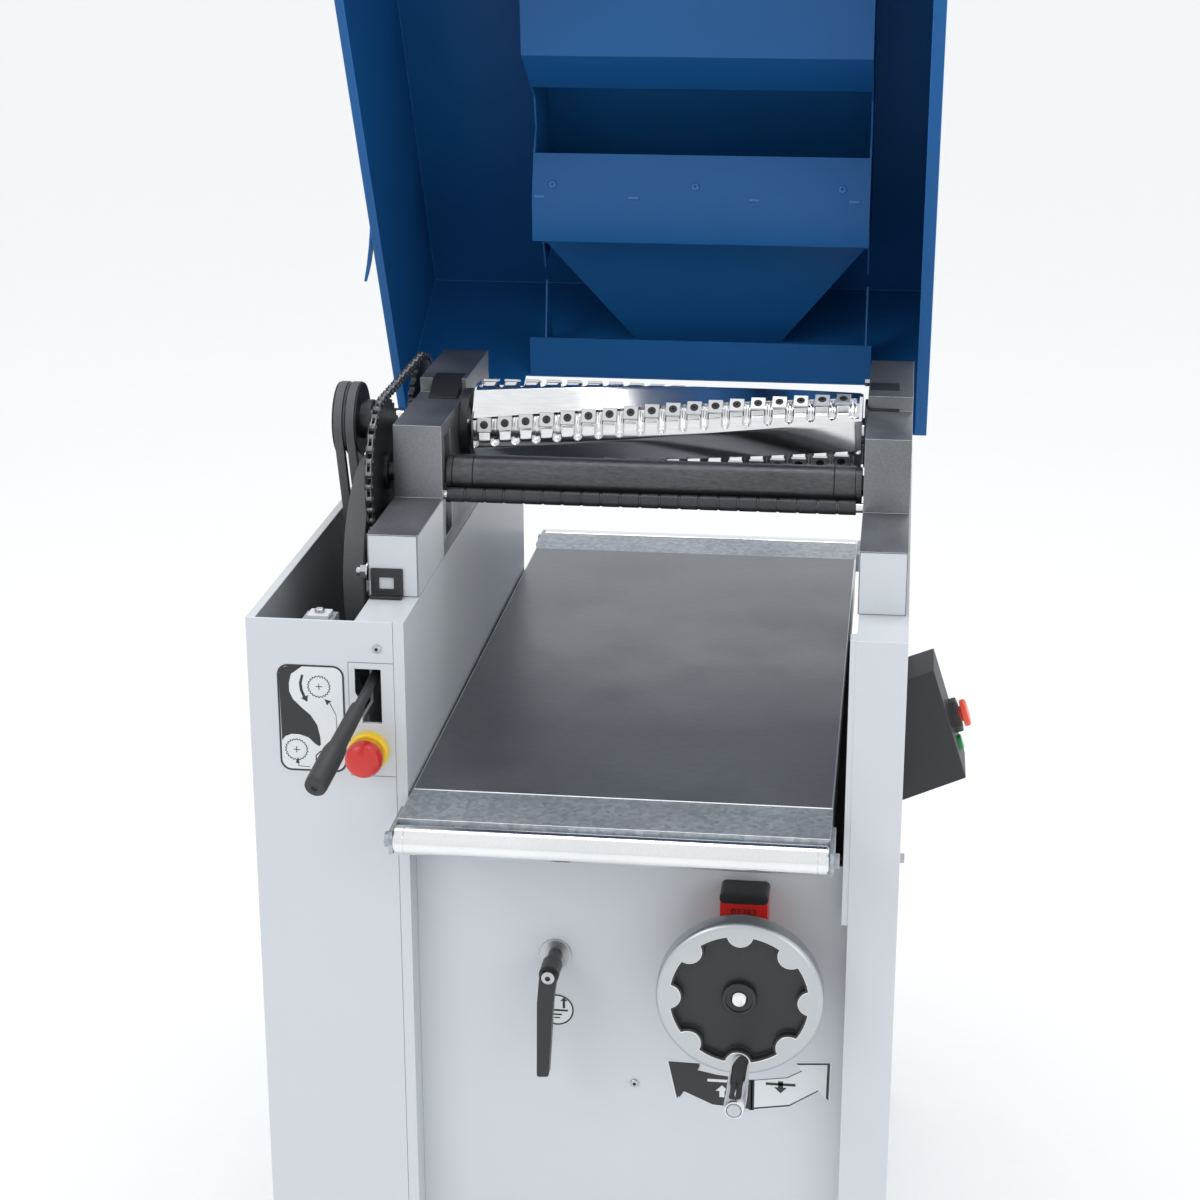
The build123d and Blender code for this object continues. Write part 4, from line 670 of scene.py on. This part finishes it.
def loop_points(circles, pitch=12.7):
    """Evenly spaced (y, z) points along a loop pulled round (y, z, r) circles, clockwise seen from +X."""
    count = len(circles)
    runs = []
    touches = []
    for i in range(count):
        y0, z0, r0 = circles[i]
        y1, z1, r1 = circles[(i + 1) % count]
        dy, dz = y1 - y0, z1 - z0
        span = hypot(dy, dz)
        lean = (r0 - r1) / span
        root = sqrt(1 - lean * lean)
        ny, nz = (dy * lean - dz * root) / span, (dz * lean + dy * root) / span
        touches.append(((y0 + r0 * ny, z0 + r0 * nz), (y1 + r1 * ny, z1 + r1 * nz)))
    for i in range(count):
        a, b = touches[i]
        runs.append(("line", a, b, hypot(b[0] - a[0], b[1] - a[1])))
        y, z, r = circles[(i + 1) % count]
        c = touches[(i + 1) % count][0]
        a0, a1 = atan2(b[1] - z, b[0] - y), atan2(c[1] - z, c[0] - y)
        while a1 > a0:
            a1 -= 2 * pi
        runs.append(("arc", (y, z, r), (a0, a1), r * (a0 - a1)))
    total = sum(run[3] for run in runs)
    n = 2 * round(total / pitch / 2)
    places = []
    for k in range(n):
        d = total * k / n
        for kind, p, q, length in runs:
            if d <= length:
                break
            d -= length
        t = min(1.0, d / length)
        if kind == "line":
            places.append((p[0] + (q[0] - p[0]) * t, p[1] + (q[1] - p[1]) * t))
        else:
            a = q[0] + (q[1] - q[0]) * t
            places.append((p[0] + p[2] * cos(a), p[1] + p[2] * sin(a)))
    return places


def link_outline(length, r, waist, steps=6):
    """A chain plate with a waist, from pin to pin along u."""
    points = []
    for k in range(steps + 1):
        a = radians(-70 + 140 * k / steps)
        points.append((length + r * cos(a), r * sin(a)))
    points.append((length / 2, waist))
    for k in range(steps + 1):
        a = radians(110 + 140 * k / steps)
        points.append((r * cos(a), r * sin(a)))
    points.append((length / 2, -waist))
    return points


def chain_links(shape, places, to_world, across_dir, half, plate_r=4.3):
    n = len(places)
    for k in range(n):
        a, b = to_world(places[k]), to_world(places[(k + 1) % n])
        u = (b - a).normalized()
        w = Vector(across_dir)
        v = w.cross(u)
        outer = k % 2
        gap = half - 1.1 if outer else half - 2.3
        corners = link_outline((b - a).length, plate_r, plate_r * 0.66)
        for side in (-1, 1):
            origin = a + w * (gap if side > 0 else -gap - 1.1)
            shape.extrude(origin, u, v, corners, 1.1, outer)
        shape.lathe(a - w * (half + 0.2), w, ((0, 0), (0, 1.5), (0.3, 1.9), (2 * half + 0.1, 1.9),
                                              (2 * half + 0.4, 1.5), (2 * half + 0.4, 0)), 10, 2)
        shape.lathe(a - w * (half - 2.4), w, ((0, 1.9), (0, 3.4), (2 * half - 4.8, 3.4),
                                              (2 * half - 4.8, 1.9)), 12, 0)


feed_r, drive_r = 12.7 / (2 * sin(pi / 37)), 12.7 / (2 * sin(pi / 19))
chains = Shape()
feed_places = loop_points(((-125.0, 962.0, feed_r), (80.0, 962.0, feed_r), (-22.0, 800.0, drive_r)))
chain_links(chains, feed_places, lambda p: Vector((-229.0, p[0], p[1])), (1, 0, 0), 3.9, 3.9)
f, r = Vector((167.5, -150.0, 420.0)), Vector((-75.5, 80.0, 420.0))
run = (r - f).normalized()
side = Vector((-run.y, run.x, 0))
lift_places = []
span, lift_r = (r - f).length, 40.4
total = 2 * span + 2 * pi * lift_r
for k in range(2 * round(total / 12.7 / 2)):
    d = total * k / (2 * round(total / 12.7 / 2))
    if d < span:
        lift_places.append(f + run * d + side * lift_r)
    elif d < span + pi * lift_r:
        a = (d - span) / lift_r
        lift_places.append(r + side * (lift_r * cos(a)) + run * (lift_r * sin(a)))
    elif d < 2 * span + pi * lift_r:
        lift_places.append(r - run * (d - span - pi * lift_r) - side * lift_r)
    else:
        a = (d - 2 * span - pi * lift_r) / lift_r
        lift_places.append(f - side * (lift_r * cos(a)) - run * (lift_r * sin(a)))
chain_links(chains, lift_places, lambda p: p, (0, 0, 1), 3.8, 3.9)
chain_piece = chains.piece("roller_chain_links", "cabinet", [CHAIN, DARK_STEEL, STEEL])
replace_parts(chain_piece, "roller_chains")

refine("drive_belts", FLAT_BELT, 0.6)
refine("feed_wheel", IRON, 0.8)
refine("feed_gearbox", ALUMINIUM, 0.8)
refine("main_motor", ALUMINIUM, 0.8)
refine("motor_pulley", IRON, 0.8)

# ---- table ----------------------------------------------------------------------------------------
refine("table", TABLE, 0.8, 2, METAL_EDGE_HIGHLIGHT)
refine("table_plates", ZINC, 0.5, 2, METAL_EDGE_HIGHLIGHT)
refine("roller_brackets", ZINC, 0.7)
for name, body_name, y in (("front_roller", "front_table_roller", -448.5),
                           ("rear_roller", "rear_table_roller", 534.5)):
    shape = Shape()
    shape.lathe((0, y, 691), (1, 0, 0), ((-158.4, 5.1), (-158.4, 12.2), (-157.2, 13.4), (-156.6, 13.4),
                                         (-156.2, 13.98),
                                         (-149.0, 13.98), (-148.7, 13.5), (-148.2, 13.5), (-147.9, 13.98),
                                         (239.9, 13.98), (240.2, 13.5), (240.7, 13.5), (241.0, 13.98),
                                         (248.2, 13.98), (248.6, 13.4), (249.2, 13.4), (250.4, 12.2),
                                         (250.4, 5.1),
                                         (-158.4, 5.1)), 64)
    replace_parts(shape.piece(name + "_tube", body_name, [POLISHED]), name)
refine("lift_screws", STEEL, 0.4)
refine("lift_nut_front", DARK_STEEL, 0.5)
refine("lift_nut_rear", DARK_STEEL, 0.5)

# ---- handwheel ------------------------------------------------------------------------------------
WX, WZ = 167.5, 527.0
refine("handwheel", SATIN, 0.9, 3, METAL_EDGE_HIGHLIGHT)
refine("handwheel_knob", BLACK, 0.6, 2)
hub = Shape()
hub.lathe((WX, 0, WZ), (0, -1, 0), ((410.5, 16.9), (418.2, 16.9), (419.0, 16.2), (419.2, 14.5), (418.6, 13.5),
                                   (413, 12.6), (412, 11.6), (412, 8.4), (411.9, 8.0), (418.2, 7.6),
                                    (419.6, 6.4),
                                   (420, 4.6), (419.9, 2.6), (419.2, 2.2), (419.2, 0)),
          48, mats=[0] * 7 + [1] * 7)
hub.piece("handwheel_hub", "handwheel", [BLACK, POLISHED])
refine("handwheel_shaft", STEEL, 0.4)
crank = Shape()
crank.lathe((170.5, 0, 461), (0, -1, 0), ((421, 5.1), (421, 7.4), (422, 8.2), (430, 8.6), (446, 9.4),
                                          (462, 10.2),
                                         (480, 10.6), (496, 10.5), (506, 10.1), (511, 9.6), (513, 8.8),
                                          (513.6, 7.6),
                                         (512.8, 7.0), (512.2, 6.8), (512.2, 5.06), (421, 5.1)), 48)
crank.lathe((170.5, 0, 461), (0, -1, 0), ((512.4, 6.7), (513.4, 6.5), (513.9, 5.6), (514, 0)), 40, 1)
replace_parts(crank.piece("crank_grip", "crank", [CHROME, SATIN]), "crank_handle")

# ---- position indicator ---------------------------------------------------------------------------
refine("position_indicator", RED, 1.0, 3)
cap = Shape()
cap.extrude((0, -337.9, 0), right, up, rounded(143.7, 191.3, 605, 616.3, 5, 6), 32.4, 0)
cap.piece("indicator_cap", "cabinet", [BLACK], width=0.8)
digits = bpy.data.curves.new("indicator_digits", "FONT")
digits.body = "02382"
digits.size = 10 * MM
digits.extrude = 0.15 * MM
digits.align_x = "CENTER"
text = bpy.data.objects.new("indicator_digits", digits)
bpy.context.scene.collection.objects.link(text)
text.matrix_world = Matrix.Translation((167.5 * MM, -370.15 * MM, 593.5 * MM)) @ Matrix.Rotation(pi / 2, 4,
    "X")
bpy.context.view_layer.update()
glyphs = bpy.data.meshes.new_from_object(text)
glyphs.transform(text.matrix_world)
bpy.data.objects.remove(text)
add_piece("indicator_numbers", glyphs, "cabinet", [PRINT_AND_SHADE_BLACK], smooth=None)

# ---- clamp, feed lever and buttons ----------------------------------------------------------------
refine("clamp_stud", STEEL, 0.6)
refine("clamp_lever", BLACK, 1.2, 3)
clamp_bits = Shape()
screw(clamp_bits, (-22, -392, 525.5), (0, -1, 0), 6.5, 2.4, "pan")
clamp_bits.piece("clamp_lever_screw", "clamp", [STEEL, PRINT_AND_SHADE_BLACK])

pivot, tip = Vector((-184.5, -300, 840)), Vector((-219, -510, 765))
reach = (tip - pivot).length
way = (tip - pivot).normalized()
lever = Shape()
lever.lathe(pivot, way, ((reach - 118, 5.1), (reach - 117, 7.2), (reach - 110, 7.6), (reach - 60, 8.2),
                         (reach - 57, 9.4), (reach - 50, 10.8), (reach - 30, 10.95), (reach - 6, 10.9),
                         (reach - 2.0, 10.4), (reach - 0.4, 9.2), (reach - 0.3, 3.2), (reach - 1.6, 2.8),
                         (reach - 1.6, 0)), 48)
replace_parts(lever.piece("feed_lever_grip", "lever", [BLACK_MATT]), "lever_knob")
refine("feed_lever", DARK_STEEL, 0.4)
dress("lever_pivot", STEEL)

stop = Shape()
stop.lathe((-198.6, -370, 748.4), (0, -1, 0), ((0, 7.2), (0, 20), (1.2, 20), (6.4, 19.8), (8.2, 19.2),
                                               (9, 18),
                                              (9, 16), (8.2, 15), (8.2, 7.2)), 64)
stop.lathe((-198.6, -340, 748.4), (0, -1, 0), ((0, 10.8), (28, 10.8)), 32)
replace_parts(stop.piece("estop_ring", "cabinet", [YELLOW]), "estop_base")
head = Shape()
head.lathe((-198.6, 0, 748.4), (0, -1, 0), ((350, 0), (350, 6.8), (384, 6.8), (385.4, 12), (387, 15.6),
                                            (389.4, 18),
                                           (391.5, 18.5), (394, 18.4), (398, 17.8), (401.6, 16.0),
                                            (403.8, 12.6),
                                           (405, 7), (405.3, 0)), 64)
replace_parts(head.piece("estop_mushroom", "estop", [RED]), "estop_button")

refine("switch_box", BLACK_MATT, 1.4, 3)
refine("stop_button", ORANGE_RED, 0.8, 2)
refine("start_button", GREEN, 0.6, 2)

# ---- hood -----------------------------------------------------------------------------------------
refine("hood_shell", BLUE, 0.7, 2, BLUE_HIGHLIGHT)
refine("hood_duct", BLUE, 0.6, 2, BLUE_HIGHLIGHT)
OPEN = radians(62)
HINGE_Y, HINGE_Z = 354.0, 891.0
HOOD_EDGE = (309.7, 882.0)


def hood_point(x, s, t):
    """World point of the open hood, s along its edge from the hinge and t into its depth."""
    y, z = HOOD_EDGE[0] - s - HINGE_Y, HOOD_EDGE[1] + t - HINGE_Z
    return Vector((x, HINGE_Y + y * cos(OPEN) + z * sin(OPEN), HINGE_Z - y * sin(OPEN) + z * cos(OPEN)))


hood_bits = Shape()
face_n = (hood_point(0, 238, 120) - hood_point(0, 237, 121)).normalized()
for x in (-115, 53, 224):
    screw(hood_bits, hood_point(x, 237, 121), face_n, 4.5, 2.2, "pan")
along_s = (hood_point(0, 228, 112) - hood_point(0, 227, 111)).normalized()
for x in (-130, -19, 122, 238):
    hood_bits.extrude(hood_point(x - 6, 227, 111) - face_n * 0.4, (1, 0, 0), along_s,
                      ((0, -1.5), (12, -1.5), (12, 1.5), (0, 1.5)), 1.6)
# screw heads and tabs in the lighter blue as painted highlight, screw recesses in the plain blue
hood_bits.piece("hood_screws", "hood", [BLUE_HIGHLIGHT, BLUE])

# ---- floor, light and camera ----------------------------------------------------------------------
floor_mesh = bpy.data.meshes.new("floor")
floor_mesh.from_pydata([(-40, -40, 0), (40, -40, 0), (40, 40, 0), (-40, 40, 0)], [], [(0, 1, 2, 3)])
floor = bpy.data.objects.new("floor", floor_mesh)
bpy.context.scene.collection.objects.link(floor)
floor_mesh.materials.append(material("floor_look", (0.93, 0.935, 0.94), 0.6, tint=0.005, grain=(60, 0.02)))

world = bpy.data.worlds.new("studio")
world.use_nodes = True
world.node_tree.nodes["Background"].inputs["Color"].default_value = (0.97, 0.985, 1.0, 1)
world.node_tree.nodes["Background"].inputs["Strength"].default_value = 1.0
bpy.context.scene.world = world


def area(name, spot, target, size, power):
    light = bpy.data.lights.new(name, "AREA")
    light.shape = "RECTANGLE"
    light.size, light.size_y = size
    light.energy = power
    obj = bpy.data.objects.new(name, light)
    bpy.context.scene.collection.objects.link(obj)
    obj.location = spot
    obj.rotation_euler = (Vector(target) - Vector(spot)).to_track_quat("-Z", "Y").to_euler()


area("key", (-2.2, -2.6, 3.0), (0, 0, 0.9), (1.6, 1.6), 22)
area("fill", (2.6, -2.2, 2.0), (0, 0, 0.8), (1.6, 1.6), 12)
area("top", (0.1, 0.6, 3.4), (0, 0, 0.9), (2.0, 1.2), 25)

yaw, pitch, roll = radians(-7.15), radians(18.28), radians(-0.07)
look = Vector((sin(yaw) * cos(pitch), cos(yaw) * cos(pitch), -sin(pitch)))
camera = bpy.data.cameras.new("camera")
camera.lens = 74.0
camera.sensor_width = 36.0
camera.clip_end = 100
eye = bpy.data.objects.new("camera", camera)
bpy.context.scene.collection.objects.link(eye)
eye.location = (0.3007, -2.5505, 1.6367)
eye.rotation_euler = (look.to_track_quat("-Z", "Y").to_matrix() @ Matrix.Rotation(roll, 3, "Z")).to_euler()
bpy.context.scene.camera = eye
bpy.context.scene.view_settings.view_transform = "Standard"
